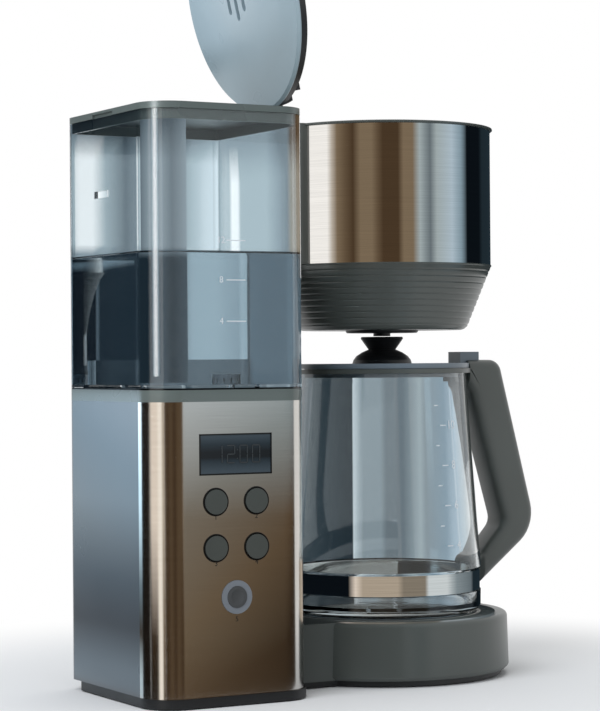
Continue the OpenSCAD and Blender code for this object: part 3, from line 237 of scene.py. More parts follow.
card("corner_brown_card", FRONT_HEIGHTS, arc(TOWER_CORNER, CORNER_CARD_R, [
    (174, *wall(OAK, SAND)), (176, *wall(BARK, OAK)), (188, *wall(OAK, OAK)), (196, *wall(BARK, BARK)),
    (205, *wall(OAK, OAK)), (214, *wall(BARK, BARK)), (221, *wall(BARK, OAK))]))
DAYLIGHT = (WHITE,) * 4
BRIGHT = (CREAM,) * 4 + DAYLIGHT
SOFT = (BARK, OAK, SAND, SAND, *DAYLIGHT)
DIM = (SOOT, UMBER, LINEN, LINEN, *DAYLIGHT)
DARK = (SOOT, SOOT, SOOT, SOOT, INK, INK, SLATE, SLATE)
card("corner_bright_card", FRONT_HEIGHTS, arc(TOWER_CORNER, CORNER_CARD_R, [
    (221.5, *SOFT), (226, *SOFT), (229, *BRIGHT), (236, *BRIGHT), (241, *DIM), (258, *DIM), (262, *DARK)]),
    1.35)
card("corner_dark_card", FRONT_HEIGHTS, arc(TOWER_CORNER, CORNER_CARD_R, [(263, *DARK), (293, *DARK)]),
     both=True)
# A white stripe at strength 14 paints the sharp highlight on the tank's left front corner: a painted
# highlight
card("tank_corner_card", (200, 372), arc(TOWER_CORNER, 45, [
    (230, BLACK), (234, SILVER), (238, WHITE), (243, WHITE), (247, SILVER), (251, BLACK)]), 14)
# A card left of the housing, pale towards the top and dark towards the foot, paints the sheen down its broad
# side: a painted reflection
card("side_card", (-5, 12, 40, 70, 120, 188, 192, 420), [
    (-190, -40, ASH, ASH, SOOT, SLATE, DUSK, SKY, INK, INK),
    (-190, 120, MIST, ASH, SOOT, SLATE, MIST, DUSK, INK, INK)], 4.4, both=True)
# A card left of the open brew lid, bright in its middle, paints the broad sheen on the lid: a painted
# reflection
card("lid_card", (395, 415, 445, 470), [
    (-175, 95, BLACK, SLATE, SLATE, BLACK), (-140, 102, BLACK, SKY, SKY, BLACK),
    (-118, 107, SLATE, WHITE, WHITE, NIGHT), (-96, 112, BLACK, SKY, SKY, BLACK),
    (-60, 119, BLACK, NIGHT, SLATE, BLACK)], 3.5)
# A blue-grey card paints the reflection in the tower's right front corner: a painted reflection
card("right_corner_card", (-5, 190, 420), [(14, -126, ASH, DUSK, DUSK), (42, -139, ASH, DUSK, DUSK)])

# A card painted as a darker room stands behind the clear tank and shows only through it, darker below the
# water's level: painted shade and painted reflection. A strip is its x and its tones below the water's level,
# above it and at the top.
PAINTED_ROOM_HEIGHTS, PAINTED_ROOM_Y, PAINTED_ROOM_STRENGTH = (140, 283, 290, 348, 368, 405), 140, 1.38
PAINTED_ROOM_STRIPS = (
    (-200, ASH, SILVER, ASH), (-120, ASH, SILVER, ASH), (-110, MIST, WHITE, ASH), (-100, MIST, WHITE, ASH),
    (-90, MIST, SILVER, SLATE), (-75, ASH, ASH, NIGHT), (-60, SLATE, MIST, ASH), (-50, SLATE, SLATE, NIGHT),
    (-40, SILVER, ASH, NIGHT), (-25, SILVER, SILVER, ASH), (-5, MIST, PALE, MIST), (0, SLATE, PALE, MIST),
    (5, NIGHT, SILVER, MIST), (15, SLATE, MIST, ASH), (30, NIGHT, MIST, ASH), (350, NIGHT, MIST, ASH),
    (380, ASH, MIST, ASH), (400, ASH, MIST, ASH), (420, INK, MIST, ASH), (900, INK, MIST, ASH))
card("tank_back_card", PAINTED_ROOM_HEIGHTS, [(x, PAINTED_ROOM_Y, low, low, high, high, top, top)
                                      for x, low, high, top in PAINTED_ROOM_STRIPS], PAINTED_ROOM_STRENGTH, behind=True)
# Two more cards stand inside the tank, round its left front corner and along its right wall, and paint what
# shows through it, darkest below the water's level: painted shade
card("tank_edge_card", (196, 271, 278, 330, 356), arc(TOWER_CORNER, 17.5, [
    (angle, low, low, high, high, top) for angle, low, high, top in (
        (170, SLATE, MIST, ASH), (200, NIGHT, ASH, SLATE), (220, SLATE, MIST, SLATE),
        (235, SLATE, ASH, SLATE), (245, NIGHT, MIST, ASH), (275, NIGHT, ASH, SLATE))]), 1.1, behind=True)
SIDE_CARD_X = -53.05
card("tank_side_card", (192, 270, 279, 325, 350, 372), [
    (SIDE_CARD_X, y, INK, INK, high, high, top, top) for y, high, top in (
        (-80, TAUPE, BARK), (-60, TAUPE, BARK), (-55, ASH, ASH), (-40, MIST, ASH), (-25, SILVER, MIST),
        (10, SILVER, MIST), (14, WHITE, MIST), (22, WHITE, MIST), (26, SILVER, MIST), (40, SILVER, MIST))],
    PAINTED_ROOM_STRENGTH, behind=True)

# A card painted as the same room stands behind the carafe and shows only through the glass, as painted shade
# and painted reflection: grey, a bright strip left of the middle, and daylight on the right
CARAFE_PAINTED_ROOM_Y = 75
card("carafe_back_card", (20, 70, 210), [(x, CARAFE_PAINTED_ROOM_Y, low, high, high) for x, low, high in (
    (-80, ASH, ASH), (25, SLATE, SLATE), (66, SLATE, NIGHT), (67, WHITE, PALE), (75, PALE, MIST),
    (90, SAND, MIST), (95, TAUPE, ASH), (105, TAUPE, ASH), (110, PALE, ASH), (125, PALE, SILVER),
    (130, SILVER, MIST), (150, PALE, DUSK), (160, PALE, SKY), (180, WHITE, PALE), (190, WHITE, WHITE))],
    0.98, behind=True)

# Two bent cards stand close round the polished band and the carafe's strap and give them their stripes, which
# are painted reflections: dark on the right, sky, brown wall, a window on the left, and more windows behind
HEAD_AXIS = (47.9, 2.0)
card("band_card", (262, 372), arc(HEAD_AXIS, 76.6, [
    (110, NIGHT), (140, NIGHT), (145, INK), (158, INK), (163, DUSK), (170, SKY), (180, SILVER), (184, ASH),
    (190, SILVER), (194, TAN), (199, TAN), (202, BARK), (210, BARK), (216, TAN), (222, TAN), (226, BARK),
    (235, TAN), (241, WHITE), (257, WHITE), (261, SLATE), (266, SLATE), (268, WHITE), (274, WHITE),
    (285, SLATE), (315, SLATE), (345, WHITE), (375, SLATE), (408, WHITE), (435, SLATE), (455, SILVER),
    (470, SLATE)]), 1.2)
card("strap_card", (40, 80), arc(HEAD_AXIS, 74, [
    (90, NIGHT), (130, NIGHT), (135, ASH), (155, MIST), (165, PALE), (180, PALE), (183, TAUPE),
    (198, TAUPE), (202, SAND), (225, SAND), (230, LINEN), (235, INK), (300, INK)]), 1.1)


# ---------------------------------------------------------------- the bottom cover, its feet and screws
# A shallow tray of black polypropylene closes the machine from below. It stands on four pads of
# black rubber and is held by zinc-plated screws, as the cover on the back is.
def dress(material, *names):
    """Gives CAD nodes their material."""
    for name in names:
        nodes[name].data.materials.clear()
        nodes[name].data.materials.append(material)


def moulded(name, colour, roughness=0.42, grain=0.7, depth=0.02, coat=0.0):
    """Injection-moulded plastic from a spark-eroded mould: an even, fine grain and a satin sheen, with a
    slight cloudiness over a hand's width. grain is in mm, about three times as coarse as real, to show."""
    made, tree = blank(name)
    place = add(tree, "ShaderNodeTexCoord")
    fine = add(tree, "ShaderNodeTexNoise", {"Vector": place.outputs["Object"], "Scale": 1 / (grain * MM),
                                            "Detail": 2.0})
    broad = add(tree, "ShaderNodeTexNoise", {"Vector": place.outputs["Object"], "Scale": 18.0, "Detail": 3.0})
    tone = add(tree, "ShaderNodeMapRange", {"Value": broad.outputs[0], "From Min": 0.3, "From Max": 0.7,
                                            "To Min": 0.93, "To Max": 1.05})
    hue = add(tree, "ShaderNodeVectorMath", {0: srgb(colour)[:3], "Scale": tone.outputs[0]},
              operation="SCALE")
    sheen = add(tree, "ShaderNodeMapRange", {"Value": broad.outputs[0], "From Min": 0.3, "From Max": 0.7,
                                             "To Min": roughness - 0.04, "To Max": roughness + 0.06})
    bump = add(tree, "ShaderNodeBump", {"Height": fine.outputs[0], "Strength": 0.35, "Distance": depth * MM})
    shader = add(tree, "ShaderNodeBsdfPrincipled", {
        "Base Color": hue.outputs[0], "Roughness": sheen.outputs[0], "Normal": bump.outputs[0],
        "IOR": 1.5, "Coat Weight": coat, "Coat Roughness": 0.12})
    add(tree, "ShaderNodeOutputMaterial", {"Surface": shader.outputs[0]})
    return made


def metal(name, colour, roughness, line=0.25, wander=0.08, depth=0.004):
    """Metal with fine level lines, from brushing or rolling, that spread each reflection. line is their
    pitch in mm, coarse enough to show, and wander is how much their sheen varies."""
    made, tree = blank(name)
    place = add(tree, "ShaderNodeTexCoord")
    drawn = add(tree, "ShaderNodeMapping", {"Vector": place.outputs["Object"],
                                            "Scale": (22.0, 22.0, 1 / (line * MM))})
    lines = add(tree, "ShaderNodeTexNoise", {"Vector": drawn.outputs[0], "Scale": 1.0, "Detail": 4.0,
                                             "Roughness": 0.65})
    smoothest = max(roughness - wander, 0.02)
    sheen = add(tree, "ShaderNodeMapRange", {"Value": lines.outputs[0], "From Min": 0.3, "From Max": 0.7,
                                             "To Min": smoothest, "To Max": roughness + wander})
    tone = add(tree, "ShaderNodeMapRange", {"Value": lines.outputs[0], "From Min": 0.3, "From Max": 0.7,
                                            "To Min": 0.9, "To Max": 1.06})
    hue = add(tree, "ShaderNodeVectorMath", {0: srgb(colour)[:3], "Scale": tone.outputs[0]},
              operation="SCALE")
    bump = add(tree, "ShaderNodeBump", {"Height": lines.outputs[0], "Strength": 0.5, "Distance": depth * MM})
    shader = add(tree, "ShaderNodeBsdfPrincipled", {
        "Base Color": hue.outputs[0], "Metallic": 1.0, "Roughness": sheen.outputs[0],
        "Normal": bump.outputs[0]})
    add(tree, "ShaderNodeOutputMaterial", {"Surface": shader.outputs[0]})
    return made


def clear(name, colour, roughness, ior):
    """Clear plastic, glass or water: see-through, with the reflections and the bending of its index."""
    made, tree = blank(name)
    shader = add(tree, "ShaderNodeBsdfPrincipled", {"Base Color": srgb(colour), "Roughness": roughness,
                                                    "Transmission Weight": 1.0, "IOR": ior})
    add(tree, "ShaderNodeOutputMaterial", {"Surface": shader.outputs[0]})
    return made


# A soft black, with a grain that greys its edges
black_plastic = moulded("black_polypropylene", "#1b1d1f", 0.45)
# Dull and coarser, with hardly a highlight
rubber = moulded("black_rubber", "#202224", 0.7, 1.2, 0.05)
# A bright grey with blurred reflections
zinc = metal("zinc_plated_steel", "#b4b7b8", 0.3, 0.5)
dress(black_plastic, "bottom_plate")
dress(rubber, "rubber_feet", "cord_gland")
dress(zinc, "housing_screws")


# ---------------------------------------------------------------- the tower's housing
# The housing and the cover behind it are moulded in ABS and painted a blue grey. Screws hold the
# cover from behind, and its vents let the heater's warmth out.
# The paint is smooth under a thin clear coat. The soft sheen down the broad side is a painted reflection of
# the side card
housing_plastic = moulded("painted_abs_blue_grey", "#454d54", 0.3, 0.9, 0.01, 0.35)
dress(housing_plastic, "tower_housing", "rear_cover")


# ---------------------------------------------------------------- the steel front
# One sheet of stainless steel is brushed level and bent round the tower's two front corners. It
# lies on the housing and is pierced for the window, the buttons and the light ring.
# The brushing stretches what it reflects upwards. The long streaks on the corners are painted reflections,
# striped on the cards round the corner
brushed = metal("brushed_stainless_steel", "#cdcac5", 0.17, 0.14, 0.05)
dress(brushed, "steel_front")


# ---------------------------------------------------------------- the display and the board
# A smoked acrylic window stands over a liquid-crystal film. Behind it are the display's frame and a
# fibreglass board, which carries one push switch for each button.
# Glossy black with sharp highlights
gloss_black = moulded("black_acrylic_window", "#07080a", 0.06, 2.0, 0.0)
# A dull green laminate
board = moulded("green_fibreglass_board", "#2f5d46", 0.35)


def closed(name, rings, material, body="machine"):
    """A closed piece: rings of points, joined one to the next, with a flat face over each end."""
    count = len(rings[0])
    verts = [Vector(p) * MM for ring in rings for p in ring]
    faces = [tuple(range(count))[::-1], tuple(range(len(verts) - count, len(verts)))]
    for i in range(len(rings) - 1):
        for k in range(count):
            n = (k + 1) % count
            faces.append((i * count + k, i * count + n, (i + 1) * count + n, (i + 1) * count + k))
    thing = mesh_object(name, verts, faces)
    shape = bmesh.new()
    shape.from_mesh(thing.data)
    bmesh.ops.recalc_face_normals(shape, faces=shape.faces)
    shape.to_mesh(thing.data)
    shape.free()
    thing.data.shade_smooth()
    thing.data.set_sharp_from_angle(angle=radians(35))
    thing.data.materials.append(material)
    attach(thing, body)
    return thing


def stamps(name, places, material, body="machine", shape="bar", segments=12):
    """One mesh of many small pieces, one at each place = (centre in mm, turn in degrees, size in mm). The
    node tree puts a bar or a ring at every point, and turns and sizes it by the point's own values."""
    group = bpy.data.node_groups.new(name, "GeometryNodeTree")
    group.interface.new_socket("Geometry", in_out="INPUT", socket_type="NodeSocketGeometry")
    count = group.interface.new_socket("Segments", in_out="INPUT", socket_type="NodeSocketInt")
    finish = group.interface.new_socket("Material", in_out="INPUT", socket_type="NodeSocketMaterial")
    group.interface.new_socket("Geometry", in_out="OUTPUT", socket_type="NodeSocketGeometry")
    given = add(group, "NodeGroupInput")
    if shape == "bar":
        piece = add(group, "GeometryNodeMeshCube", {"Size": (1, 1, 1)}).outputs["Mesh"]
    else:
        hoop = add(group, "GeometryNodeCurvePrimitiveCircle", {"Resolution": given.outputs["Segments"],
                                                               "Radius": 0.5})
        wire = add(group, "GeometryNodeCurvePrimitiveCircle", {"Resolution": 10, "Radius": 0.03})
        swept = add(group, "GeometryNodeCurveToMesh", {"Curve": hoop.outputs["Curve"],
                                                       "Profile Curve": wire.outputs["Curve"]})
        piece = swept.outputs["Mesh"]
    turn = add(group, "GeometryNodeInputNamedAttribute", {"Name": "turn"}, data_type="FLOAT_VECTOR")
    size = add(group, "GeometryNodeInputNamedAttribute", {"Name": "size"}, data_type="FLOAT_VECTOR")
    spread = add(group, "GeometryNodeInstanceOnPoints", {
        "Points": given.outputs["Geometry"], "Instance": piece, "Rotation": turn.outputs["Attribute"],
        "Scale": size.outputs["Attribute"]})
    real = add(group, "GeometryNodeRealizeInstances", {"Geometry": spread.outputs["Instances"]})
    smooth = add(group, "GeometryNodeSetShadeSmooth", {0: real.outputs[0], "Shade Smooth": shape != "bar"})
    done = add(group, "GeometryNodeSetMaterial", {"Geometry": smooth.outputs[0],
                                                  "Material": given.outputs["Material"]})
    add(group, "NodeGroupOutput", {0: done.outputs[0]})
    points = mesh_object(name + "_points", [Vector(p) * MM for p, _, _ in places], [])
    for key, values in (("turn", [[radians(v) for v in t] for _, t, _ in places]),
                        ("size", [[v * MM for v in z] for _, _, z in places])):
        field = points.data.attributes.new(key, "FLOAT_VECTOR", "POINT")
        field.data.foreach_set("vector", [v for row in values for v in row])
    nodes_on = points.modifiers.new("stamps", "NODES")
    nodes_on.node_group = group
    nodes_on[count.identifier] = segments
    nodes_on[finish.identifier] = material
    graph = bpy.context.evaluated_depsgraph_get()
    made = bpy.data.meshes.new_from_object(points.evaluated_get(graph))
    bpy.data.objects.remove(points)
    thing = bpy.data.objects.new(name, made)
    scene.collection.objects.link(thing)
    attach(thing, body)
    return thing


def words(name, text, at, turn, height, material, body="machine", depth=0.06):
    """Printed numbers: the built-in font, lying at a point in mm and turned by Euler angles in degrees."""
    made = bpy.data.curves.new(name, "FONT")
    made.body = text
    made.size = height * MM * 1.4
    made.extrude = depth * MM
    made.align_x, made.align_y = "CENTER", "CENTER"
    made.resolution_u = 3
    loose = bpy.data.objects.new(name + "_curve", made)
    loose.location = Vector(at) * MM
    loose.rotation_euler = [radians(v) for v in turn]
    scene.collection.objects.link(loose)
    bpy.context.view_layer.update()
    mesh = bpy.data.meshes.new_from_object(loose.evaluated_get(bpy.context.evaluated_depsgraph_get()))
    mesh.transform(loose.matrix_world)
    bpy.data.objects.remove(loose)
    thing = bpy.data.objects.new(name, mesh)
    thing.data.materials.clear()
    thing.data.materials.append(material)
    scene.collection.objects.link(thing)
    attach(thing, body)
    return thing


TOWER_X, TOWER_FRONT, TOWER_LEFT, TOWER_RIGHT, TOWER_BACK = -108.1, -84.0, -163.1, -53.1, 41.5
WINDOW_Z = 152.6
WINDOW_HALF_W, WINDOW_HALF_H, WINDOW_EDGE, PAINTED_REFLECTION_HALF_H = 24.3, 12.0, 0.8, 12.4


def digit_strokes(text, centre, size, pitch, stroke):
    """Places for stamps: the bars of seven-stroke digits, upright on the plane of the centre."""
    w, h = size
    strokes = {"a": (0, h, 1), "b": (w / 2, h / 2, 0), "c": (w / 2, -h / 2, 0), "d": (0, -h, 1),
               "e": (-w / 2, -h / 2, 0), "f": (-w / 2, h / 2, 0), "g": (0, 0, 1)}
    lit = {"0": "abcdef", "1": "bc", "2": "abged"}
    places, x = [], centre[0] - pitch * (len(text.replace(":", "")) - 1) / 2
    for sign in text:
        if sign == ":":
            places += [((x - pitch / 2, centre[1], centre[2] + dz), (0, 0, 0), (stroke, 0.1, stroke))
                       for dz in (-h / 2, h / 2)]
            continue
        for key in lit[sign]:
            dx, dz, level = strokes[key]
            long = (w if level else h) - stroke * 0.4
            places.append(((x + dx, centre[1], centre[2] + dz), (0, 0, 0),
                           (long, 0.1, stroke) if level else (stroke, 0.1, long)))
        x += pitch
    return places


# Dark and glossy, and paler at the foot and the head of the window: a painted reflection in the colour ramp
window, tree = blank("smoked_acrylic_with_painted_reflection")
place = add(tree, "ShaderNodeTexCoord")
height = add(tree, "ShaderNodeSeparateXYZ", {0: place.outputs["Object"]})
level = add(tree, "ShaderNodeMapRange", {"Value": height.outputs["Z"],
                                         "From Min": (WINDOW_Z - PAINTED_REFLECTION_HALF_H) * MM,
                                         "From Max": (WINDOW_Z + PAINTED_REFLECTION_HALF_H) * MM})
film = add(tree, "ShaderNodeValToRGB", {"Fac": level.outputs[0]})
film.color_ramp.elements[0].position, film.color_ramp.elements[0].color = 0.05, srgb(SLATE)
film.color_ramp.elements[1].position, film.color_ramp.elements[1].color = 1.0, srgb(SLATE)
for position, colour in ((0.34, NIGHT), (0.42, INK), (0.56, INK), (0.75, NIGHT)):
    film.color_ramp.elements.new(position).color = srgb(colour)
shader = add(tree, "ShaderNodeBsdfPrincipled", {"Base Color": film.outputs["Color"], "Roughness": 0.08,
                                                "IOR": 1.49})
add(tree, "ShaderNodeOutputMaterial", {"Surface": shader.outputs[0]})
dress(window, "display_window")
level_bar, upright_bar = (49.4, 0.2, WINDOW_EDGE), (WINDOW_EDGE, 0.2, 24.7)
stamps("window_frame", [((TOWER_X + x, TOWER_FRONT - 0.05, WINDOW_Z + z), (0, 0, 0), size) for x, z, size in (
    (0, WINDOW_HALF_H, level_bar), (0, -WINDOW_HALF_H, level_bar),
    (-WINDOW_HALF_W, 0, upright_bar), (WINDOW_HALF_W, 0, upright_bar))], gloss_black)
# The strokes of an unlit display, a little darker than the film behind them
digit_ink = moulded("grey_lcd_segment", "#33383b", 0.3)
DIGIT_SIZE, DIGIT_PITCH, DIGIT_STROKE = (5, 5.2), 8.6, 0.75
stamps("display_digits", digit_strokes("12:00", (TOWER_X + 1, TOWER_FRONT - 0.02, WINDOW_Z), DIGIT_SIZE,
                                       DIGIT_PITCH, DIGIT_STROKE), digit_ink)
# A dark frame, seen only when the front is off
dress(moulded("lcd_frame", "#333a3a"), "display_module")
dress(board, "control_board")
dress(zinc, "button_switches")


# ---------------------------------------------------------------- the buttons
# Four small round buttons and a dished power button, moulded in ABS, slide in the holes of the
# front on the springs of their switches. A ring round the power button spreads its light.
BUTTON_X, UPPER_Z, LOWER_Z, CAPTION_DROP = 13.85, 124.0, 96.1, 9.4
RIM_OFFSET = 0.1
# A grey satin face, a shade darker than the base
button_plastic = moulded("grey_button_abs", "#474c49", 0.3)
dress(button_plastic, "hour_button", "minute_button", "program_button", "aroma_button")
# Flat, dark print without a sheen
caption_ink = moulded("dark_grey_pad_print", "#2a2724", 0.5)
UPPER_TEXT_Z, LOWER_TEXT_Z = UPPER_Z - CAPTION_DROP, LOWER_Z - CAPTION_DROP
for text, x, z in (("1", -BUTTON_X, UPPER_TEXT_Z), ("2", BUTTON_X, UPPER_TEXT_Z),
                   ("3", -BUTTON_X, LOWER_TEXT_Z), ("4", BUTTON_X, LOWER_TEXT_Z), ("5", 0, 52.6)):
    words("caption_" + text.lower().replace("/", "_"), text, (TOWER_X + x, TOWER_FRONT - 0.05, z),
          (90, 0, 0), 3.1, caption_ink)
stamps("button_rims", [((TOWER_X + x, TOWER_FRONT - RIM_OFFSET, z), (90, 0, 0), (16.4, 16.4, 14))
                       for x in (-BUTTON_X, BUTTON_X) for z in (UPPER_Z, LOWER_Z)],
       gloss_black, shape="ring", segments=64)
# Smoother than the small buttons, so its dish catches a highlight
dress(moulded("dished_button_abs", "#4a4d4f", 0.25), "power_button")
# Pale and a little blue, as a light ring is when it is off
dress(moulded("blue_grey_light_ring", "#777d84", 0.3), "light_ring")


# ---------------------------------------------------------------- the tank
# The tank is moulded in clear SAN and stands on a deck of grey ABS, with a lid of the same that
# lifts off. Its outlet has a silicone seal and a strainer, and it is a little over half full.
# A grey satin with fine grain: the broad grey parts look soft and even
grey_plastic = moulded("grey_abs", "#4b504d", 0.32)
# Clear and faintly blue, with sharp highlights at the corners. The brightest, on the left front corner, is a
# painted highlight from a white card
clear_tank = clear("clear_san", "#eef3f5", 0.01, 1.49)
# Milky and dull
silicone = moulded("clear_silicone", "#d3d0c8", 0.5)
# Smoother and greener than the base, so its rim catches a light line
dress(moulded("grey_green_abs", "#626b68", 0.28), "tank_deck", "tank_lid")
dress(clear_tank, "tank_body")
# The water bends what stands behind it. It looks darker and bluer than the air above it because the cards
# seen through the tank are painted darker below the water's level: painted shade
water = clear("still_water_before_painted_shade", "#dfe8ee", 0.0, 1.333)
DECK_TOP, WATER_Z = 191.7, 274.4
FRONT_CORNER_R, BACK_CORNER_R = 21.5, 6


def tower_outline(inset, z, steps=10):
    """The tower's plan as points at height z: two wide corners in front, two small ones behind."""
    x0, x1, y0, y1 = TOWER_LEFT + inset, TOWER_RIGHT - inset, TOWER_FRONT + inset, TOWER_BACK - inset
    points = []
    for x, y, radius, start in ((x1, y0, FRONT_CORNER_R, 270), (x1, y1, BACK_CORNER_R, 0),
                                (x0, y1, BACK_CORNER_R, 90), (x0, y0, FRONT_CORNER_R, 180)):
        radius = max(radius - inset, 0.5)
        cx = x - radius if x == x1 else x + radius
        cy = y + radius if y == y0 else y - radius
        for i in range(steps + 1):
            turn = radians(start + 90 * i / steps)
            points.append((cx + radius * cos(turn), cy + radius * sin(turn), z))
    return points


# The water's edge climbs the walls a little
closed("tank_water", [tower_outline(2.15, DECK_TOP + 2.8), tower_outline(2.15, WATER_Z + 1.4),
                      tower_outline(2.7, WATER_Z + 0.6), tower_outline(3.6, WATER_Z + 0.15),
                      tower_outline(5.5, WATER_Z)], water)
# Flat, pale print
pale_ink = moulded("pale_pad_print", "#dfe6ea", 0.5)
LEVELS = (233, 258, 282)
stamps("tank_level_marks", [((TOWER_X + 1, TOWER_FRONT - 0.03, z), (0, 0, 0), (13, 0.1, 0.6))
                            for z in LEVELS], pale_ink)
for i, z in enumerate(LEVELS):
    cups = 4 * i + 4
    words("tank_number_%d" % cups, str(cups), (TOWER_X - 9, TOWER_FRONT - 0.03, z), (90, 0, 0), 4, pale_ink)
dress(silicone, "tank_seal", "plate_seal", "cold_hose", "riser_hose", "lid_seal", "drip_seal")
# Pale and cloudy, so that it stays dim under the water
dress(moulded("milky_polypropylene", "#9aa9b3", 0.4), "outlet_strainer")


# ---------------------------------------------------------------- the base and what heats the water
# The round base is a moulded shell. Under its coated plate a water tube and a heating tube lie side
# by side in a bent bracket, held by a screw, with a thermostat and a fuse on them.
dress(grey_plastic, "base_housing")
# Black enamel with a low, even shine
dress(moulded("black_coated_steel_plate", "#1e2022", 0.3), "warming_plate")
dress(zinc, "heater_tube", "boiler_tube", "heater_bracket", "bracket_screw")
# A dull, warm grey
dress(moulded("ceramic_steatite", "#8c8578"), "thermostat")
# Yellow metal with a soft shine
dress(metal("brass", "#a88f52", 0.3), "thermal_fuse")
# Off-white and waxy
dress(moulded("white_polypropylene", "#c8c8c4"), "check_valve")


# ---------------------------------------------------------------- the column and the head
# A hollow column of grey ABS carries the brew head, a ribbed bowl of the same. A polished steel
# band is pressed round the bowl under its rim ring, and the spout ends over the filter.
# Nearly a mirror, with a faint line in it from rolling
polished = metal("polished_stainless_steel", "#dcd9d4", 0.05, 0.4, 0.02, 0.001)
dress(grey_plastic, "brew_column", "head_housing", "head_rim")
dress(black_plastic, "outlet_spout")
dress(polished, "head_band")


# ---------------------------------------------------------------- the brew lid
# A pale painted shell is fixed on a black frame that turns on a steel pin. A plate of small holes
# under it spreads the hot water over the coffee.
# Smooth paint in a pale blue grey. Its broad sheen is a painted reflection of a bright card beside the lid
dress(moulded("pale_painted_abs", "#97a9b0", 0.3, 0.9, 0.01), "lid_shell")
dress(black_plastic, "lid_frame", "shower_plate")
dress(zinc, "hinge_pin")


# ---------------------------------------------------------------- the filter
# A black basket hangs in the head and holds a cone of steel mesh in a moulded frame, with a wire
# bail to lift it by. A plunger on a spring in its foot stops the drip.
dress(black_plastic, "filter_basket", "filter_frame", "drip_plunger", "valve_cap")
# Fine mesh, which from afar is a warm, dull metal
dress(metal("steel_mesh", "#a79a72", 0.3), "filter_mesh")
dress(zinc, "filter_bail", "drip_spring")


# ---------------------------------------------------------------- the carafe
# The jug is blown in borosilicate glass. A steel strap, tightened by a screw, and a collar hold the
# handle to it, and the lid turns on a pin in the handle and carries the funnel.
# Clear, with thin bright edges where the wall is seen edge-on
dress(clear("borosilicate_glass", "#f2f6f7", 0.0, 1.47), "carafe_glass")
dress(polished, "carafe_strap")


def offset_line(corners, inset, held):
    """The corners = (out, up, radius) of a closed outline moved inwards, except along the edges held."""
    moved = []
    count = len(corners)
    for i in range(count):
        lines = []
        for a, b, edge in ((corners[i - 1], corners[i], (i - 1) % count),
                           (corners[i], corners[(i + 1) % count], i)):
            direction = (Vector(b[:2]) - Vector(a[:2])).normalized()
            normal = Vector((direction.y, -direction.x))
            start = Vector(a[:2]) + normal * (0 if edge in held else inset)
            lines.append((start, direction))
        (p, u), (q, v) = lines
        cross = u.x * v.y - u.y * v.x
        t = ((q.x - p.x) * v.y - (q.y - p.y) * v.x) / cross
        hollow = cross > 0
        moved.append((*(p + u * t), max(corners[i][2] + (inset if hollow else -inset), 0.4)))
    return moved


def rounded(corners, steps=7):
    """Points round an outline, with steps + 1 on the arc at each corner."""
    points = []
    count = len(corners)
    for i in range(count):
        a, b, c = (Vector(corners[j % count][:2]) for j in (i - 1, i, i + 1))
        u, v = (a - b).normalized(), (c - b).normalized()
        half = u.angle(v) / 2
        slope = sin(half) / cos(half)
        reach = min(corners[i][2] / max(slope, 1e-4), (a - b).length * 0.48, (c - b).length * 0.48)
        radius = reach * slope
        middle = b + (u + v).normalized() * radius / sin(half)
        start = b + u * reach - middle
        end = b + v * reach - middle
        a0 = atan2(start.y, start.x)
        sweep = (atan2(end.y, end.x) - a0 + 3 * pi) % (2 * pi) - pi
        for k in range(steps + 1):
            at = a0 + sweep * k / steps
            points.append((middle.x + radius * cos(at), middle.y + radius * sin(at)))
    return points


# The handle's outline, as distances from the carafe's axis, heights and corner radii. It is
# rounded all over, apart from its two flat ends at the collar and the strap.
COLLAR_R, BLOCK_TOP, OUT, BEND, GRIP_TOP = 59.0, 208.5, 115.6, 102.6, 186.0
STRAP_R, FOOT, STRAP_H, GRIP_T, LEAN = 63.5, 56.4, 13.1, 25.4, 0.305
HANDLE_LINE = [
    (COLLAR_R + 3.3, BLOCK_TOP, 1), (OUT - 27.5, BLOCK_TOP, 9), (OUT + 2.35, BEND - 9.05, 26),
    (STRAP_R + 6.5, FOOT - 0.5, 3), (STRAP_R + 3.6, FOOT - 0.5, 0.5),
    (STRAP_R + 3.6, FOOT + STRAP_H + 6, 0.5),
    (STRAP_R + 8.5, FOOT + STRAP_H + 8, 6), (OUT - GRIP_T, BEND - 5, 9),
    (OUT - GRIP_T - LEAN * (GRIP_TOP - BEND), GRIP_TOP, 5), (COLLAR_R + 3.3, GRIP_TOP + 4, 1)]
HELD_EDGES = (4, 9)
ROUND, HALF_WIDTH = 7.0, 13
rings = []
for i in range(-9, 10):
    turn = radians(10 * i)
    inset = ROUND * (1 - cos(turn))
    aside = (HALF_WIDTH - ROUND + ROUND * abs(sin(turn))) * (1 if i > 0 else -1) if i else 0
    rings.append([(HEAD_AXIS[0] + a, HEAD_AXIS[1] + aside, b)
                  for a, b in rounded(offset_line(HANDLE_LINE, inset, HELD_EDGES))])
handle = closed("carafe_handle_grip", rings, grey_plastic, "carafe")

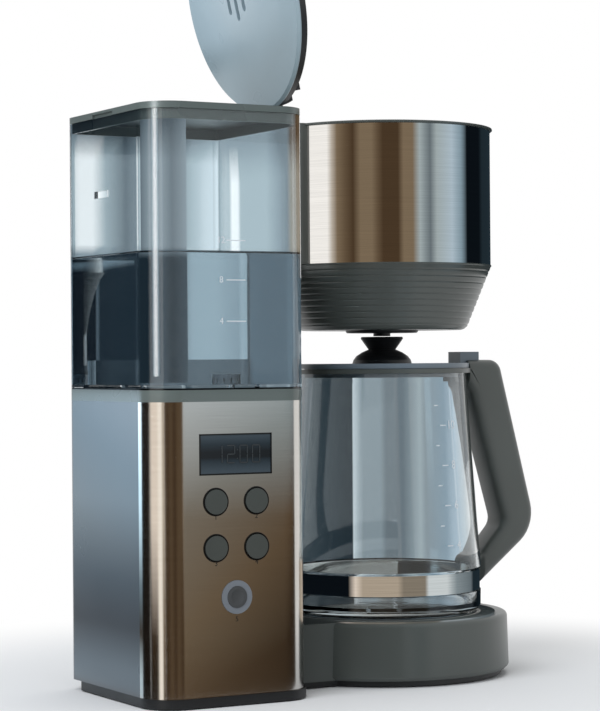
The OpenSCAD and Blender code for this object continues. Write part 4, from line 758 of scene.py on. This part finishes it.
# A slot in its top takes the lid's lever
SLOT_END, SLOT_HALF_W = COLLAR_R + 14.6, 8
slot_corners = [(x * MM, y * MM, z * MM) for x in (HEAD_AXIS[0] + 40, HEAD_AXIS[0] + SLOT_END)
                for y in (HEAD_AXIS[1] - SLOT_HALF_W, HEAD_AXIS[1] + SLOT_HALF_W) for z in (198, 214)]
slot = mesh_object("lever_slot", slot_corners,
                   [(0, 1, 3, 2), (4, 6, 7, 5), (0, 4, 5, 1), (2, 3, 7, 6), (0, 2, 6, 4), (1, 5, 7, 3)])
cut = handle.modifiers.new("slot", "BOOLEAN")
cut.operation, cut.object, cut.solver = "DIFFERENCE", slot, "EXACT"
bpy.context.view_layer.update()
cut_mesh = bpy.data.meshes.new_from_object(handle.evaluated_get(bpy.context.evaluated_depsgraph_get()))
handle.modifiers.remove(cut)
handle.data = cut_mesh
bpy.data.objects.remove(slot)
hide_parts("carafe_handle")
dress(grey_plastic, "carafe_collar", "carafe_handle")
# A blue-grey satin, its own tone made lighter than the handle to stand in for the sheen on its lever and
# ring: partly a painted sheen
dress(moulded("blue_grey_abs", "#66727b", 0.3), "carafe_lid")

# Cups are marked on the glass in pale enamel, with generic numbers
MARK_ANGLE = 11
WIDE_R, WIDE_Z, NARROW_R, NARROW_Z = 65, 86, 56, 194


def glass_radius(z):
    """The outer radius of the carafe's glass at a height."""
    return WIDE_R + (NARROW_R - WIDE_R) * (z - WIDE_Z) / (NARROW_Z - WIDE_Z)


def on_glass(angle, z, out=0.02):
    """A point on the glass, angle being measured from -Y towards +X."""
    radius = glass_radius(z) + out
    turn = radians(angle)
    return (HEAD_AXIS[0] + radius * sin(turn), HEAD_AXIS[1] - radius * cos(turn), z)


# Every second mark is shorter and stands a little to the left. They lean back with the glass
GLASS_LEAN = 4.8
marks = []
for k, z in enumerate(range(88, 180, 13)):
    short = k % 2
    angle = MARK_ANGLE - 5 * short
    marks.append((on_glass(angle, z), (-GLASS_LEAN, 0, angle), (5 - 2 * short, 0.1, 0.6)))
stamps("carafe_cup_marks", marks, pale_ink, "carafe")
NUMBER_ANGLE = MARK_ANGLE + 7.5
for cups, z in ((4, 88), (6, 114), (8, 140), (10, 166)):
    words("carafe_number_%d" % cups, str(cups), on_glass(NUMBER_ANGLE, z, 0.08),
          (90 - GLASS_LEAN, 0, NUMBER_ANGLE), 5.6, pale_ink, "carafe")
dress(black_plastic, "carafe_funnel")
dress(zinc, "strap_screw", "carafe_lid_pin")
